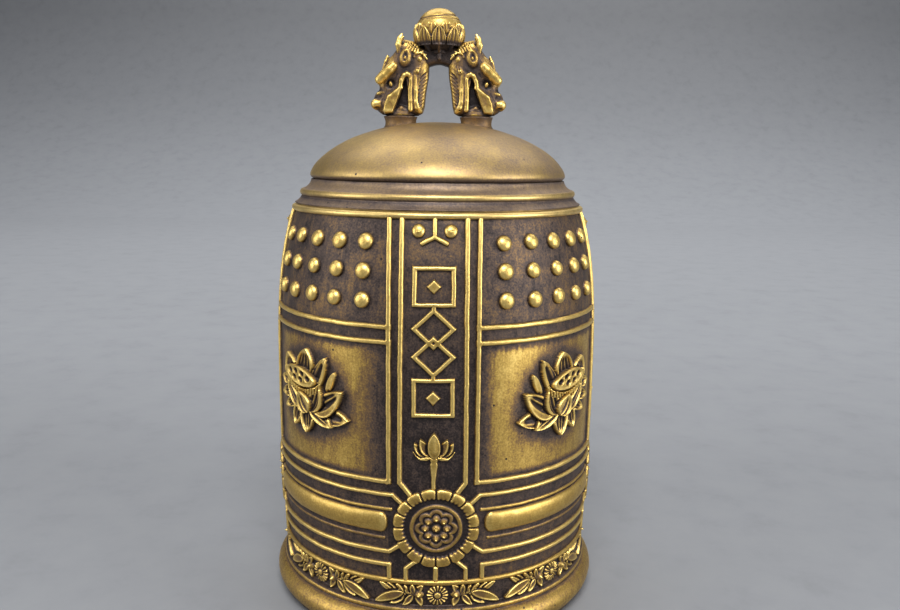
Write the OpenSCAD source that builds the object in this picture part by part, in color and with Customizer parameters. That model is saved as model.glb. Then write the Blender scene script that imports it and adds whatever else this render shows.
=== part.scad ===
// Small cast-brass temple bell with a twin-dragon handle, four relief straps and a hung clapper.
// The frame: origin on the axis in the plane of the rim, +Z up, the front strap faces -Y, and the
// two dragon heads lie along X.

/* [Bell body] */
// Ground radius of the wall at its fullest height
body_r = 41.4; // [38:0.2:44]
// Thickness of the wall
wall = 3.4; // [2.8:0.1:3.8]
// Height of the shoulder edge above the rim
shoulder_z = 101.1; // [100:0.1:102]
// How far the rounded lip stands out beyond the body
lip_out = 2; // [1.5:0.1:3.5]
// Height of the dome above its own edge
dome_h = 13.7; // [12.5:0.1:15]

/* [Relief] */
// Height of the raised lines above the ground
line_h = 0.8; // [0.4:0.1:1.2]
// Width of the raised lines
line_w = 1.2; // [0.8:0.1:1.6]
// Bosses in each row of a quarter
boss_columns = 5; // [3:1:5]
// Rows of bosses in each quarter
boss_rows = 3; // [2:1:3]
// Radius of a boss
boss_r = 1.9; // [1.2:0.1:2]
// Radius of the strike rosette
rosette_r = 10.2; // [8.5:0.1:10.4]
// Petals round the strike rosette
rosette_petals = 16; // [12:1:20]

/* [Handle] */
// Distance of each handle post from the axis
post_x = 9.8; // [9.4:0.1:10.4]
// Radius of a handle post at its foot
post_r = 4.4; // [3.6:0.1:4.5]
// Radius of the jewel
jewel_r = 6.1; // [5.6:0.1:6.6]

/* [Clapper] */
// Height of the staple bar that the clapper link hangs on
staple_z = 108.5; // [107.5:0.1:109.5]
// Radius of the clapper ball
ball_r = 7.5; // [5:0.1:7.5]
// Height of the middle of the clapper ball above the rim
ball_z = 26; // [24:0.5:30]

/* [Hidden] */
$fn = 48;
SIDES = ["front", "right", "back", "left"];
QUARTERS = ["a", "b", "c", "d"];
PLAIN_NODES = [
    "bell_shell", "shoulder_moulding", "crown_dome", "frieze_ring", "strap_studs",
    "strap_sprays", "panel_sprays", "left_post", "right_post", "left_dragon_head",
    "right_dragon_head", "left_brow_horns", "right_brow_horns", "handle_arch", "lotus_cup", "jewel",
    "tenon_washers", "clapper_staple", "clapper_link", "clapper_rod", "clapper_ball", "clapper_tip"
];
SIDE_NODES = ["strap_frame_", "fret_column_", "lotus_sprig_", "strike_rosette_"];
QUARTER_NODES = ["panel_frame_", "boss_field_", "lotus_relief_", "belt_band_", "belt_lines_"];
NODES = concat(
    PLAIN_NODES,
    [for (kind = SIDE_NODES) for (side = SIDES) str(kind, side)],
    [for (kind = QUARTER_NODES) for (quarter = QUARTERS) str(kind, quarter)]
);
node = "all";

root = 0.3;            // how deep a relief piece is let into the wall
gap = 0.15;            // air between neighbouring relief pieces
far = 60;              // further out than any surface of the bell
waist_z = 57;          // height at which the body is fullest
lip_mid_z = 4.2;
lip_r = body_r + lip_out;
lip_tube_r = 3.5;
frieze_z0 = 8.5;       // raised ring under the frieze
frieze_z1 = 15.4;      // raised ring over the frieze
channel_z = 19.5;      // top line of the closed channel above the frieze
low_line_z = 22.9;
low_fine_z = 26.1;
belt_z = 30.1;
belt_half_h = 2.5;
high_fine_z = 33.4;
high_line_z = 37;
panel_z0 = 40.3;       // lowest line of the flower panel
panel_z1 = 73.1;       // highest line of the flower panel
field_z0 = 76.6;       // lowest line of the boss field
boss_z0 = 82.3;
boss_dz = 6.5;
boss_turn = 10.7;      // degrees between bosses in a row
strap_in = 7.3;        // half width of a strap between its own lines
strap_out = 10.1;      // half width out to the panel frames
panel_turn = asin(strap_out / body_r);
line_turn = 15.4;       // where the lines round the belt end, in degrees from the middle of a strap
rosette_z = 29.4;
low_turn = 1.3;         // degrees by which the relief under the panels sits round from the straps
flower_z = 58.7;
flower_half_w = 15.2;
flower_half_h = 10.9;
fret_z0 = 55.9;
fret_z1 = 90.6;
sprig_top_z = 52.8;
crown_z = 108.3;       // underside of the dome casting
crown_r = 33.15;
edge_z = 109.3;        // the dome's outer edge
pad_z = 117.6;         // flat pad inside the crown
seat_z = 121.15;       // flat seat for the posts, on the dome
head_z = 124.7;        // top of the posts, where the heads sit
apex_z = edge_z + dome_h;
tenon_r = 2.55;
fit = 0.05;
arch_z = 137.4;        // underside of the handle's arch
cup_z = 139.9;
jewel_z = 145.3;
wire_r = 1.3;          // staple
link_r = 1.1;          // wire of the link and of the clapper's eye
slack = 0.4;           // play between bar and link, and between link and eye
link_bend = wire_r + slack + link_r;
eye_bend = link_r + slack + link_r;
link_corner = 1.8;
pivot_z = 98.2;        // straight bottom of the link, which the clapper's eye hangs on

brass = [0.72, 0.58, 0.27];
dark_brass = [0.33, 0.27, 0.2];
gold_brass = [0.82, 0.67, 0.32];

// ---- the body's profile: a formula sampled into a table, so that every piece shares the same cones
function ground_formula(z) = z < waist_z
    ? body_r - 1.0 * pow((waist_z - z) / 41, 2)
    : body_r - 4.35 * pow((z - waist_z) / 44, 3.2);
PROFILE_STEP = 3.5;
PROFILE_Z = [for (i = [0 : 1 : 28]) min(i * PROFILE_STEP + 4, shoulder_z)];
PROFILE = [for (z = PROFILE_Z) [z, ground_formula(z)]];
function ground_r(z) = lookup(z, PROFILE);
function between(z0, z1) = concat([z0], [for (z = PROFILE_Z) if (z > z0 && z < z1) z], [z1]);
function reversed(points) = [for (i = [len(points) - 1 : -1 : 0]) points[i]];
function arc_points(cx, cy, r, a0, a1, n) = [
    for (i = [0 : n]) [cx + r * cos(a0 + (a1 - a0) * i / n), cy + r * sin(a0 + (a1 - a0) * i / n)]
];
function turned(points, a) = [
    for (p = points) [p[0] * cos(a) - p[1] * sin(a), p[0] * sin(a) + p[1] * cos(a)]
];

// A layer that follows the wall between two heights, from depth "low" to height "high" over the ground
module layer(z0, z1, low, high) {
    zs = between(z0, z1);
    rotate_extrude($fn = 96)
        polygon(concat([for (z = zs) [ground_r(z) + low, z]],
                       reversed([for (z = zs) [ground_r(z) + high, z]])));
}

// Part of such a layer: what a flat drawing in x and z, pushed out along -Y, cuts from it
module relief(z0, z1, h) {
    intersection() {
        layer(z0, z1, -root, h);
        rotate([90, 0, 0]) linear_extrude(far) children();
    }
}

// A raised line round the wall at one height, over an angle counted from the front
module arc_line(z, w, h, from, to, sunk = root) {
    rotate([0, 0, from - 90]) rotate_extrude(angle = to - from, $fn = 96)
        polygon([[ground_r(z) - sunk, z - w / 2], [ground_r(z) + h, z - w / 2],
                 [ground_r(z) + h, z + w / 2], [ground_r(z) - sunk, z + w / 2]]);
}

// A flat stroke between two points, with square ends
module stroke(a, b, w) {
    d = b - a;
    translate(a) rotate(atan2(d[1], d[0])) translate([-w / 2, -w / 2]) square([norm(d) + w, w]);
}

module at_side(i) rotate([0, 0, 90 * i]) children();
module at_quarter(i) rotate([0, 0, 90 * i + 45]) children();

// ---- bell shell
module bell_shell() color(dark_brass) rotate_extrude($fn = 96) polygon(concat(
    [[38.1, 0], [lip_r - 2, 0]],
    arc_points(lip_r - lip_tube_r, lip_mid_z, lip_tube_r, -45, 85, 12),
    [[ground_r(frieze_z0) + 0.6, 7.9], [ground_r(frieze_z0) + 1.5, 8.1],
     [ground_r(frieze_z0) + 1.5, 8.9], [ground_r(9.3), 9.3]],
    [for (z = between(9.3, shoulder_z)) if (z > 9.3) [ground_r(z), z]],
    reversed([for (z = between(15, shoulder_z)) [ground_r(z) - wall, z]]),
    [[37.3, 3]]
));

module shoulder_moulding() color(brass) rotate_extrude($fn = 96) polygon(concat(
    [[ground_r(shoulder_z) - wall, shoulder_z], [ground_r(shoulder_z) + 0.4, shoulder_z]],
    arc_points(ground_r(shoulder_z) + 0.3, shoulder_z + 0.55, 0.55, -60, 90, 5),
    arc_points(38.2, shoulder_z + 4.2, 3.6, 250, 190, 5),
    arc_points(34.75, 105.35, 0.65, -70, 90, 6),
    arc_points(35.4, 108.7, 2.8, 245, 190, 5),
    [[32.4, crown_z], [crown_r - wall - 0.2, crown_z]]
));

function dome_z(r, rim, h) = edge_z + h * pow(max(0, 1 - pow(r / rim, 2)), 0.62);
module crown_dome() color(brass) difference() {
    union() {
        rotate_extrude($fn = 96) polygon(concat(
            [[crown_r - wall, crown_z], [crown_r - 0.8, crown_z], [crown_r, edge_z - 0.3]],
            [for (i = [0 : 15]) let (r = crown_r * cos(i * 6)) [r, dome_z(r, crown_r, dome_h)]],
            [[0, apex_z]],
            reversed([for (i = [0 : 15]) let (r = (crown_r - wall) * cos(i * 6))
                [i == 15 ? 0 : r, dome_z(i == 15 ? 0 : r, crown_r - wall, dome_h - wall)]])
        ));
        translate([0, 0, pad_z]) cylinder(r = 7.5, h = 3);
        for (s = [-1, 1]) translate([s * post_x, 0, pad_z]) cylinder(r = 4.8, h = 2.6);
        translate([-post_x, -4, pad_z]) cube([2 * post_x, 8, 2.6]);
    }
    for (s = [-1, 1]) translate([s * post_x, 0, 0]) {
        translate([0, 0, pad_z - 1]) cylinder(r = tenon_r + fit, h = 10);
        translate([0, 0, seat_z]) cylinder(r = post_r + fit, h = 10);
    }
    for (s = [-1, 1]) translate([0, s * 5, pad_z - 1]) cylinder(r = wire_r + fit, h = 4.4);
}

module frieze_ring() color(gold_brass) arc_line(frieze_z1, line_w, line_h, 0, 360);

// ---- relief on the four straps
module rosette_room() rotate([0, 0, low_turn]) rotate([90, 0, 0]) translate([0, rosette_z, 0])
    cylinder(r = rosette_r + gap, h = far);

module strap_frame(i) color(gold_brass) at_side(i) difference() {
    union() {
        relief(rosette_z, shoulder_z - gap, line_h) {
            for (s = [-1, 1]) {
                stroke([s * strap_in, 110], [s * (strap_in + 0.3), panel_z0], line_w);
                stroke([s * (strap_in + 0.3), panel_z0], [s * 4.4, rosette_z + 7], line_w);
                stroke([0, 96.6], [s * 2.6, 95.2], line_w);
            }
            stroke([0, 110], [0, 96.6], line_w);
        }
        rotate([0, 0, low_turn]) relief(frieze_z1 + line_w / 2 + gap, rosette_z, line_h) {
            for (s = [-1, 1]) {
                stroke([s * 4.2, rosette_z - 8], [s * 7, 18.9], line_w);
                stroke([s * 7, 18.9], [s * 7, 10], line_w);
            }
            stroke([0, rosette_z - 5], [0, 10], line_w);
        }
    }
    rosette_room();
}

module strap_studs() color(gold_brass) for (i = [0 : 3]) at_side(i) for (s = [-1, 1])
    translate([s * 3.6, -sqrt(pow(ground_r(98), 2) - 3.6 * 3.6) + root, 98]) sphere(r = 1.4);

// Windows and linked lozenges in a column: a plain lattice that reads the same either way up
module window(half_w, half_h) {
    difference() {
        square([2 * half_w, 2 * half_h], center = true);
        square([2 * half_w - 2.2, 2 * half_h - 2.2], center = true);
    }
    polygon([[1.9, 0], [0, 1.9], [-1.9, 0], [0, -1.9]]);
}
module lozenge(half_w, half_h) difference() {
    polygon([[half_w, 0], [0, half_h], [-half_w, 0], [0, -half_h]]);
    polygon([[half_w - 1.7, 0], [0, half_h - 1.7], [-half_w + 1.7, 0], [0, -half_h + 1.7]]);
}
module fret_column(i) color(gold_brass) at_side(i) relief(fret_z0 - 1, fret_z1 + 1, line_h)
    translate([0, (fret_z0 + fret_z1) / 2]) for (s = [-1, 1]) {
        translate([0, s * 12.6]) window(4.9, 4.6);
        translate([0, s * 3.2]) lozenge(5.2, 4.9);
        stroke([0, s * 7.4], [0, s * 8.6], 1.1);
    }

// A petal outline from its foot at the origin to its tip at [0, l]
function petal(l, w) = concat(
    [for (i = [0 : 6]) let (t = i / 6) [w * sin(180 * pow(t, 0.8)) / 2 * (1 - 0.35 * t), l * t]],
    [for (i = [5 : -1 : 1]) let (t = i / 6) [-w * sin(180 * pow(t, 0.8)) / 2 * (1 - 0.35 * t), l * t]]
);
module lotus_sprig(i) color(gold_brass) at_side(i) difference() {
    relief(36, sprig_top_z + 1, line_h) translate([0.3, 0]) {
        translate([0, sprig_top_z - 6.5]) {
            polygon(petal(6.5, 3.2));
            for (s = [-1, 1]) {
                polygon(turned(petal(5.6, 2.2), s * 36));
                polygon(turned(petal(5.6, 2.0), s * 59));
                polygon(turned(petal(4.9, 1.9), s * 86));
            }
        }
        polygon([[-1.1, 46.6], [1.1, 46.6], [0.7, 42], [0.6, 37], [-0.6, 37], [-0.7, 42]]);
    }
    rosette_room();
}

module strike_rosette(i) color(gold_brass) at_side(i) rotate([0, 0, low_turn]) difference() {
    rotate([90, 0, 0]) translate([0, rosette_z, 0]) {
        linear_extrude(body_r + 0.9) difference() {
            union() for (k = [0 : rosette_petals - 1])
                polygon(turned(concat([[0, 0]], arc_points(rosette_r - 2.1, 0, 2.1, -64, 64, 6)),
                               360 / rosette_petals * k));
            circle(r = 5.9);
        }
        cylinder(r = 5.9, h = body_r + 0.6);
        translate([0, 0, body_r + 0.6]) for (k = [0 : 7])
            rotate(45 * k) translate([2.4, 0, 0]) cylinder(r = 0.7, h = 0.5);
        translate([0, 0, body_r + 0.6]) cylinder(r = 0.7, h = 0.5);
    }
    layer(rosette_z - 14, rosette_z + 14, -far / 2, -root);
    translate([0, 0, rosette_z - 14]) cylinder(r = 12, h = 28);
}

// ---- relief in the four quarters between the straps
module panel_frame(i) color(gold_brass) {
    for (z = [panel_z0, panel_z1, field_z0])
        rotate([0, 0, 90 * i])
            arc_line(z, line_w, line_h - 0.1, panel_turn, 90 - panel_turn, root - 0.1);
    for (turn = [0, 1]) at_side(i + turn)
        relief(panel_z0 - line_w / 2 - 0.1, shoulder_z - gap, line_h)
            translate([turn == 0 ? strap_out - line_w / 2 : -strap_out - line_w / 2, 0])
                square([line_w, 110]);
}

module boss_field(i) color(gold_brass) at_quarter(i)
    for (row = [0 : boss_rows - 1]) for (column = [0 : boss_columns - 1]) {
        z = boss_z0 + boss_dz * row;
        rotate([0, 0, boss_turn * (column - (boss_columns - 1) / 2)])
            translate([0, -ground_r(z) + root, z]) sphere(r = boss_r);
    }

module lotus_relief(i) color(gold_brass) at_quarter(i) relief(flower_z - 14, flower_z + 14, 1.5)
    translate([0, flower_z]) scale([flower_half_w, flower_half_h]) {
        for (k = [0 : 11]) polygon(turned(petal(1 - (k % 2) * 0.1, 0.48), 30 * k));
        circle(r = 0.45);
    }

module belt_band(i) color(gold_brass) rotate([0, 0, 90 * i + low_turn + 15.8 - 90])
    rotate_extrude(angle = 58.4, $fn = 96) polygon(concat(
        [[ground_r(belt_z) - root, belt_z - belt_half_h]],
        arc_points(ground_r(belt_z) - 2.1, belt_z, 3.2, -50, 50, 10),
        [[ground_r(belt_z) - root, belt_z + belt_half_h]]
    ));

module belt_lines(i) color(gold_brass) rotate([0, 0, 90 * i + low_turn]) {
    for (z = [high_line_z, low_line_z])
        arc_line(z, line_w, line_h - 0.1, line_turn, 90 - line_turn, root - 0.1);
    arc_line(channel_z, line_w, line_h - 0.1, line_turn - 1.2, 90 - line_turn + 1.2, root - 0.1);
    for (z = [high_fine_z, low_fine_z])
        arc_line(z, 0.8, line_h / 2, line_turn, 90 - line_turn);
    difference() {
        for (turn = [0, 1]) at_side(turn)
            relief(frieze_z1 + line_w / 2 + gap, high_line_z + line_w / 2 + 0.1, line_h) line_ends(turn == 0 ? 1 : -1);
        for (turn = [0, 1]) at_side(turn) rotate([90, 0, 0]) translate([0, rosette_z, 0])
            cylinder(r = rosette_r + gap, h = far);
    }
}
// The ends of those lines: two run slantwise to the rosette, the lowest one drops to the frieze ring
module line_ends(s) {
    stroke([s * 10.9, high_line_z - 0.1], [s * 8.2, high_line_z - 2.8], line_w);
    stroke([s * 10.9, low_line_z + 0.1], [s * 8.2, low_line_z + 2.4], line_w);
    stroke([s * 10.1, channel_z - 0.1], [s * 10.1, 10], line_w);
}

// ---- sprays in the frieze
module spray() {
    circle(r = 2.7);
    for (s = [-1, 1]) mirror([s < 0 ? 1 : 0, 0]) {
        translate([2.9, 0]) rotate(-90) polygon(petal(10.6, 3.2));
        for (k = [0 : 2]) translate([3.6 + 2.4 * k, 0.2]) polygon(turned(petal(4.2, 1.9), -50 - 6 * k));
        for (k = [0 : 2]) translate([3.6 + 2.4 * k, -0.2]) polygon(turned(petal(4, 1.9), -128));
    }
}
module sprays(start) color(gold_brass) for (i = [0 : 3]) rotate([0, 0, start + 90 * i + 2])
    relief(9.3 + gap, frieze_z1 - line_w / 2 - gap, line_h) translate([0, 12]) spray();

// ---- handle
module post(s) color(brass) translate([s * post_x, 0, 0]) rotate_extrude() polygon(concat(
    [[0, 115.4], [2.6, 115.4], [3.3, 116], [3.4, 116.6], [tenon_r, 116.6], [tenon_r, seat_z]],
    [[post_r, seat_z], [post_r, seat_z + 0.3]],
    arc_points(post_r + 2.9, head_z - 1.9, 3.2, 210, 150, 6),
    [[post_r, head_z], [2, head_z], [2, head_z + 3], [0, head_z + 3]]
));

module tenon_washers() color(brass) for (s = [-1, 1]) translate([s * post_x, 0, 116.6]) difference() {
    cylinder(r = 3.9, h = 1);
    translate([0, 0, -1]) cylinder(r = tenon_r + fit, h = 3);
}

// Side outline of a head that faces +X: crest, brow, snout, upper lip, mouth, jaw and neck
HEAD = [
    [4.4, 141.6], [6.8, 143.2], [8.5, 143.5], [9.2, 145], [10.9, 142.7], [12, 140.6], [12.9, 138.2],
    [14.7, 135.6], [15.6, 132.3], [15.4, 130.4], [16.7, 129.6], [18.2, 127.7], [17.6, 126.3], [16, 125.6],
    [15.3, head_z], [13.2, head_z], [11.2, 128.2], [9.3, 133.2], [8.2, 133.6], [7.7, 130], [7.5, head_z],
    [4.3, head_z], [3.7, 126.6], [3.3, 130.2], [2.7, 133.9], [2.5, 137.1], [3.6, 138.3]
];
module dragon_head(s) color(gold_brass) mirror([s < 0 ? 1 : 0, 0, 0]) difference() {
    union() {
        rotate([90, 0, 0]) translate([0, 0, -3.6]) linear_extrude(7.2) polygon(HEAD);
        for (t = [-1, 1]) {
            translate([8.6, t * 3.2, 139.1]) sphere(r = 1.9);
            translate([5.2, t * 2.4, 126.4]) cylinder(r = 1.7, h = 14);
            translate([16.4, t * 1.8, 127.9]) sphere(r = 1.7);
        }
        translate([7.3, -3.4, head_z]) cube([7.4, 6.8, 3.6]);
    }
    translate([post_x, 0, head_z - 1]) cylinder(r = 2 + fit, h = 4.1);
}

// The long ridges over the eyes
module brow_horns(s) color(gold_brass) mirror([s < 0 ? 1 : 0, 0, 0]) for (t = [-1, 1])
    translate([11.4, t * 4.4, 136.8]) rotate([0, 135, 0]) {
        cylinder(r = 1.25, h = 5.2);
        sphere(r = 1.25);
        translate([0, 0, 5.2]) sphere(r = 1.25);
    }

module handle_arch() color(dark_brass) rotate([90, 0, 0]) translate([0, 0, -3]) linear_extrude(6)
    polygon(concat(
        [[4.5, arch_z + 0.95], [4.5, cup_z], [-4.5, cup_z], [-4.5, arch_z + 0.95]],
        arc_points(0, arch_z - 5.2, 5.2, 122, 58, 8)
    ));

module lotus_cup() color(brass) difference() {
    rotate_extrude() polygon([
        [0, cup_z], [3, cup_z], [4.8, cup_z + 0.9], [6.1, cup_z + 2.5], [6.6, cup_z + 4.4],
        [6.5, cup_z + 6.2], [0, cup_z + 6.2]
    ]);
    translate([0, 0, jewel_z]) sphere(r = jewel_r);
}
module jewel() color(gold_brass) intersection() {
    translate([0, 0, jewel_z]) sphere(r = jewel_r);
    translate([-10, -10, cup_z + 0.5]) cube(20);
}

// ---- clapper
module bend(r, wire) rotate_extrude(angle = 90) translate([r, 0]) circle(r = wire);
module clapper_staple() color(brass) {
    leg_y = 5;
    corner = 2.2;
    translate([0, -leg_y + corner, staple_z]) rotate([-90, 0, 0]) cylinder(r = wire_r, h = 2 * (leg_y - corner));
    for (s = [-1, 1]) {
        translate([0, s * leg_y, staple_z + corner]) cylinder(r = wire_r, h = pad_z + 3.2 - staple_z - corner);
        mirror([0, s > 0 ? 1 : 0, 0]) translate([0, -leg_y + corner, staple_z + corner])
            rotate([0, 0, 90]) rotate([90, 0, 0]) rotate([0, 0, 180]) bend(corner, wire_r);
    }
}
module half_ring(r, wire) rotate([90, 0, 0]) rotate_extrude(angle = 180) translate([r, 0]) circle(r = wire);
module clapper_link() color(brass) {
    translate([0, 0, staple_z]) half_ring(link_bend, link_r);
    low_z = pivot_z + link_corner;
    half = link_bend - link_corner;
    for (s = [-1, 1]) {
        translate([s * link_bend, 0, low_z]) cylinder(r = link_r, h = staple_z - low_z);
        mirror([s < 0 ? 1 : 0, 0, 0]) translate([half, 0, low_z])
            rotate([90, 0, 0]) rotate([0, 0, -90]) bend(link_corner, link_r);
    }
    translate([-half, 0, pivot_z]) rotate([0, 90, 0]) cylinder(r = link_r, h = 2 * half);
}
module clapper_rod() color(brass) {
    translate([0, 0, pivot_z]) rotate([0, 90, 0]) rotate_extrude() translate([eye_bend, 0]) circle(r = link_r);
    translate([0, 0, 17]) cylinder(r = 1.6, h = pivot_z - eye_bend - 0.4 - 17);
}
module clapper_ball() color(gold_brass) difference() {
    translate([0, 0, ball_z]) sphere(r = ball_r);
    translate([0, 0, ball_z - 10]) cylinder(r = 1.6 + fit, h = 20);
}
module clapper_tip() color(brass) difference() {
    translate([0, 0, 14]) {
        cylinder(r1 = 1.8, r2 = 2.6, h = 2.2);
        translate([0, 0, 2.2]) cylinder(r = 2.6, h = 1.6);
    }
    translate([0, 0, 17]) cylinder(r = 1.6 + fit, h = 5);
}

// ---- one node at a time
function wanted(name) = node == "all" || node == name;
if (wanted("bell_shell")) bell_shell();
if (wanted("shoulder_moulding")) shoulder_moulding();
if (wanted("crown_dome")) crown_dome();
if (wanted("frieze_ring")) frieze_ring();
if (wanted("strap_studs")) strap_studs();
if (wanted("strap_sprays")) sprays(0);
if (wanted("panel_sprays")) sprays(45);
if (wanted("left_post")) post(-1);
if (wanted("right_post")) post(1);
if (wanted("left_dragon_head")) dragon_head(-1);
if (wanted("right_dragon_head")) dragon_head(1);
if (wanted("left_brow_horns")) brow_horns(-1);
if (wanted("right_brow_horns")) brow_horns(1);
if (wanted("handle_arch")) handle_arch();
if (wanted("lotus_cup")) lotus_cup();
if (wanted("jewel")) jewel();
if (wanted("tenon_washers")) tenon_washers();
if (wanted("clapper_staple")) clapper_staple();
if (wanted("clapper_link")) clapper_link();
if (wanted("clapper_rod")) clapper_rod();
if (wanted("clapper_ball")) clapper_ball();
if (wanted("clapper_tip")) clapper_tip();
for (i = [0 : 3]) {
    if (wanted(str("strap_frame_", SIDES[i]))) strap_frame(i);
    if (wanted(str("fret_column_", SIDES[i]))) fret_column(i);
    if (wanted(str("lotus_sprig_", SIDES[i]))) lotus_sprig(i);
    if (wanted(str("strike_rosette_", SIDES[i]))) strike_rosette(i);
    if (wanted(str("panel_frame_", QUARTERS[i]))) panel_frame(i);
    if (wanted(str("boss_field_", QUARTERS[i]))) boss_field(i);
    if (wanted(str("lotus_relief_", QUARTERS[i]))) lotus_relief(i);
    if (wanted(str("belt_band_", QUARTERS[i]))) belt_band(i);
    if (wanted(str("belt_lines_", QUARTERS[i]))) belt_lines(i);
}
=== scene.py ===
"""A small cast-brass temple bell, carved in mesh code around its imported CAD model.

Everything is worked out in millimetres and goes into Blender in metres. Angles round the bell count
from the front strap (-Y) towards +X. The relief on the wall is a set of height fields over the ground
surface; the handle is cut from signed distance fields; what was turned is a lathe shape.
"""
import math

import bpy
import numpy as np
from mathutils import Euler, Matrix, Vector


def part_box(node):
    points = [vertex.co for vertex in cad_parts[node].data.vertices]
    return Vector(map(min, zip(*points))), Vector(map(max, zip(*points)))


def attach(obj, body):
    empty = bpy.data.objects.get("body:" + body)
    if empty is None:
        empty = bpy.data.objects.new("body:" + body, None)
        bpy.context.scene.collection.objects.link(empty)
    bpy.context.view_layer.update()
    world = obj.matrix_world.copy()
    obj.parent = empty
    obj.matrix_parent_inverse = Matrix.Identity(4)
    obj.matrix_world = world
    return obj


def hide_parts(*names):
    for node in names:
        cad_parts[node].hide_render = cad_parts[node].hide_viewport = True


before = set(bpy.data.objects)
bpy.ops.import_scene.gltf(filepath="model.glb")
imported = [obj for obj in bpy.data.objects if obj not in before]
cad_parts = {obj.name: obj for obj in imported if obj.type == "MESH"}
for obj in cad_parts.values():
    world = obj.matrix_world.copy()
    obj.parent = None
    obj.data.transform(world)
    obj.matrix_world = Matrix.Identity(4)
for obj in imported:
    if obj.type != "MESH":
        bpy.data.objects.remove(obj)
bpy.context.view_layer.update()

MM = 0.001
QUARTER = math.pi / 2


# ---- places, from the CAD frame ----
def low(node):
    return np.array(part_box(node)[0]) / MM


def high(node):
    return np.array(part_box(node)[1]) / MM


def mid(node):
    return (low(node) + high(node)) / 2


LINE_H = 0.8  # height of the raised lines over the ground
LINE_W = 1.2
SUNK = 0.35  # how far a relief's skirt lies under the ground
RING_Z = mid("frieze_ring")[2]
SHOULDER_Z = high("bell_shell")[2]
WAIST_Z = 57.0
FLARE = 41  # how far under its waist the wall has flared out by 1 mm
BODY_R = high("frieze_ring")[0] - LINE_H + ((WAIST_Z - RING_Z) / FLARE) ** 2
WALL = 3.4
LIP_R = high("bell_shell")[0]
BEAD_Z = 8.5  # the bead over the lip
FRIEZE_MID, FRIEZE_HALF = 12.3, 2.8  # the band that the sprays lie in
PANEL_Z = (low("panel_frame_a")[2] + LINE_W / 2 + 0.1, 73.1, 76.6)
BELT_Z = mid("belt_band_a")[2]
BELT_HALF = 2.6
LINES_Z = (high("belt_lines_a")[2] - LINE_W / 2, 22.9, 19.5)
FINE_Z = (33.4, 26.1)
STRAP_IN = 7.3  # from a strap's middle to its own line
STRAP_OUT = 10.1  # and to the panel frame beside it
BOSS_Z = low("boss_field_a")[2] + 1.9
BOSS_DZ = 6.5
BOSS_TURN = math.radians(10.7)
LOW_TURN = math.radians(1.3)  # the relief under the panels sits this much round from the straps
SPRAY_TURN = math.radians(2)
ROSETTE_Z = mid("strike_rosette_front")[2]
ROSETTE_R = (high("strike_rosette_front")[0] - low("strike_rosette_front")[0]) / 2
FLOWER_Z = mid("lotus_relief_a")[2]
FRET_Z = (low("fret_column_front")[2], high("fret_column_front")[2])
SPRIG_Z = high("lotus_sprig_front")[2]
STUD_Z = mid("strap_studs")[2]
CROWN_Z = high("shoulder_moulding")[2]
APEX_Z = high("crown_dome")[2]
EDGE_Z = 109.3  # where the dome starts over the moulding
CROWN_R = high("crown_dome")[0]
POST_X = mid("right_post")[0]
SEAT_Z = 121.2  # where the posts stand on the dome
JEWEL_Z = 145.3
JEWEL_TOP = high("jewel")[2]
JEWEL_R = JEWEL_TOP - JEWEL_Z


def ground_r(z):
    """Radius of the wall's ground at a height."""
    z = np.asarray(z, float)
    below = BODY_R - ((WAIST_Z - z) / FLARE) ** 2
    above = BODY_R - 4.35 * (np.clip(z - WAIST_Z, 0, None) / 44) ** 3.2
    return np.where(z < WAIST_Z, below, above)


# ---- small mathematics ----
def smooth(t):
    t = np.clip(t, 0, 1)
    return t * t * (3 - 2 * t)


def hump(d, width):
    return np.exp(-((d / width) ** 2))


def half_round(d):
    """1 where d is 0, falling in a half circle to 0 where d is 1 or -1."""
    return np.sqrt(np.clip(1 - d**2, 0, 1))


def highest(first, *others):
    for other in others:
        first = np.maximum(first, other)
    return first


def wobble(seed, scale, *coords):
    """Smooth noise from about -1 to 1: sine waves in seeded directions, the longest about scale mm."""
    rng = np.random.default_rng(seed)
    total = 0.0
    for octave in range(3):
        for _ in range(5):
            direction = rng.normal(size=len(coords))
            direction *= 2 * math.pi * 1.9**octave / (scale * np.linalg.norm(direction))
            phase = rng.uniform(0, 2 * math.pi)
            wave = sum(c * k for c, k in zip(coords, direction))
            total = total + np.sin(wave + phase) / 1.7**octave
    return total / 4.2


def uneven(seed, scale, phi, r, z):
    """Wobble over a turned surface."""
    return wobble(seed, scale, r * np.sin(phi), r * np.cos(phi), z)


def blur(field, radius, wrap=False):
    """Box blur, twice, over the last two axes; radius in cells."""
    for axis in (-1, -2):
        for _ in range(2):
            mode = "wrap" if wrap and axis == -1 else "edge"
            pad = [(0, 0)] * field.ndim
            pad[axis] = (radius + 1, radius)
            sums = np.cumsum(np.pad(field, pad, mode=mode), axis=axis)
            size = field.shape[axis]
            upper = np.take(sums, range(2 * radius + 1, 2 * radius + 1 + size), axis=axis)
            lower = np.take(sums, range(size), axis=axis)
            field = (upper - lower) / (2 * radius + 1)
    return field


def to_segment(x, z, a, b):
    """Distance from points to the segment from a to b."""
    dx, dz = b[0] - a[0], b[1] - a[1]
    t = np.clip(((x - a[0]) * dx + (z - a[1]) * dz) / (dx * dx + dz * dz), 0, 1)
    return np.hypot(x - a[0] - t * dx, z - a[1] - t * dz)


def to_path(x, z, points):
    return np.minimum.reduce([to_segment(x, z, a, b) for a, b in zip(points, points[1:])])


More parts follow.
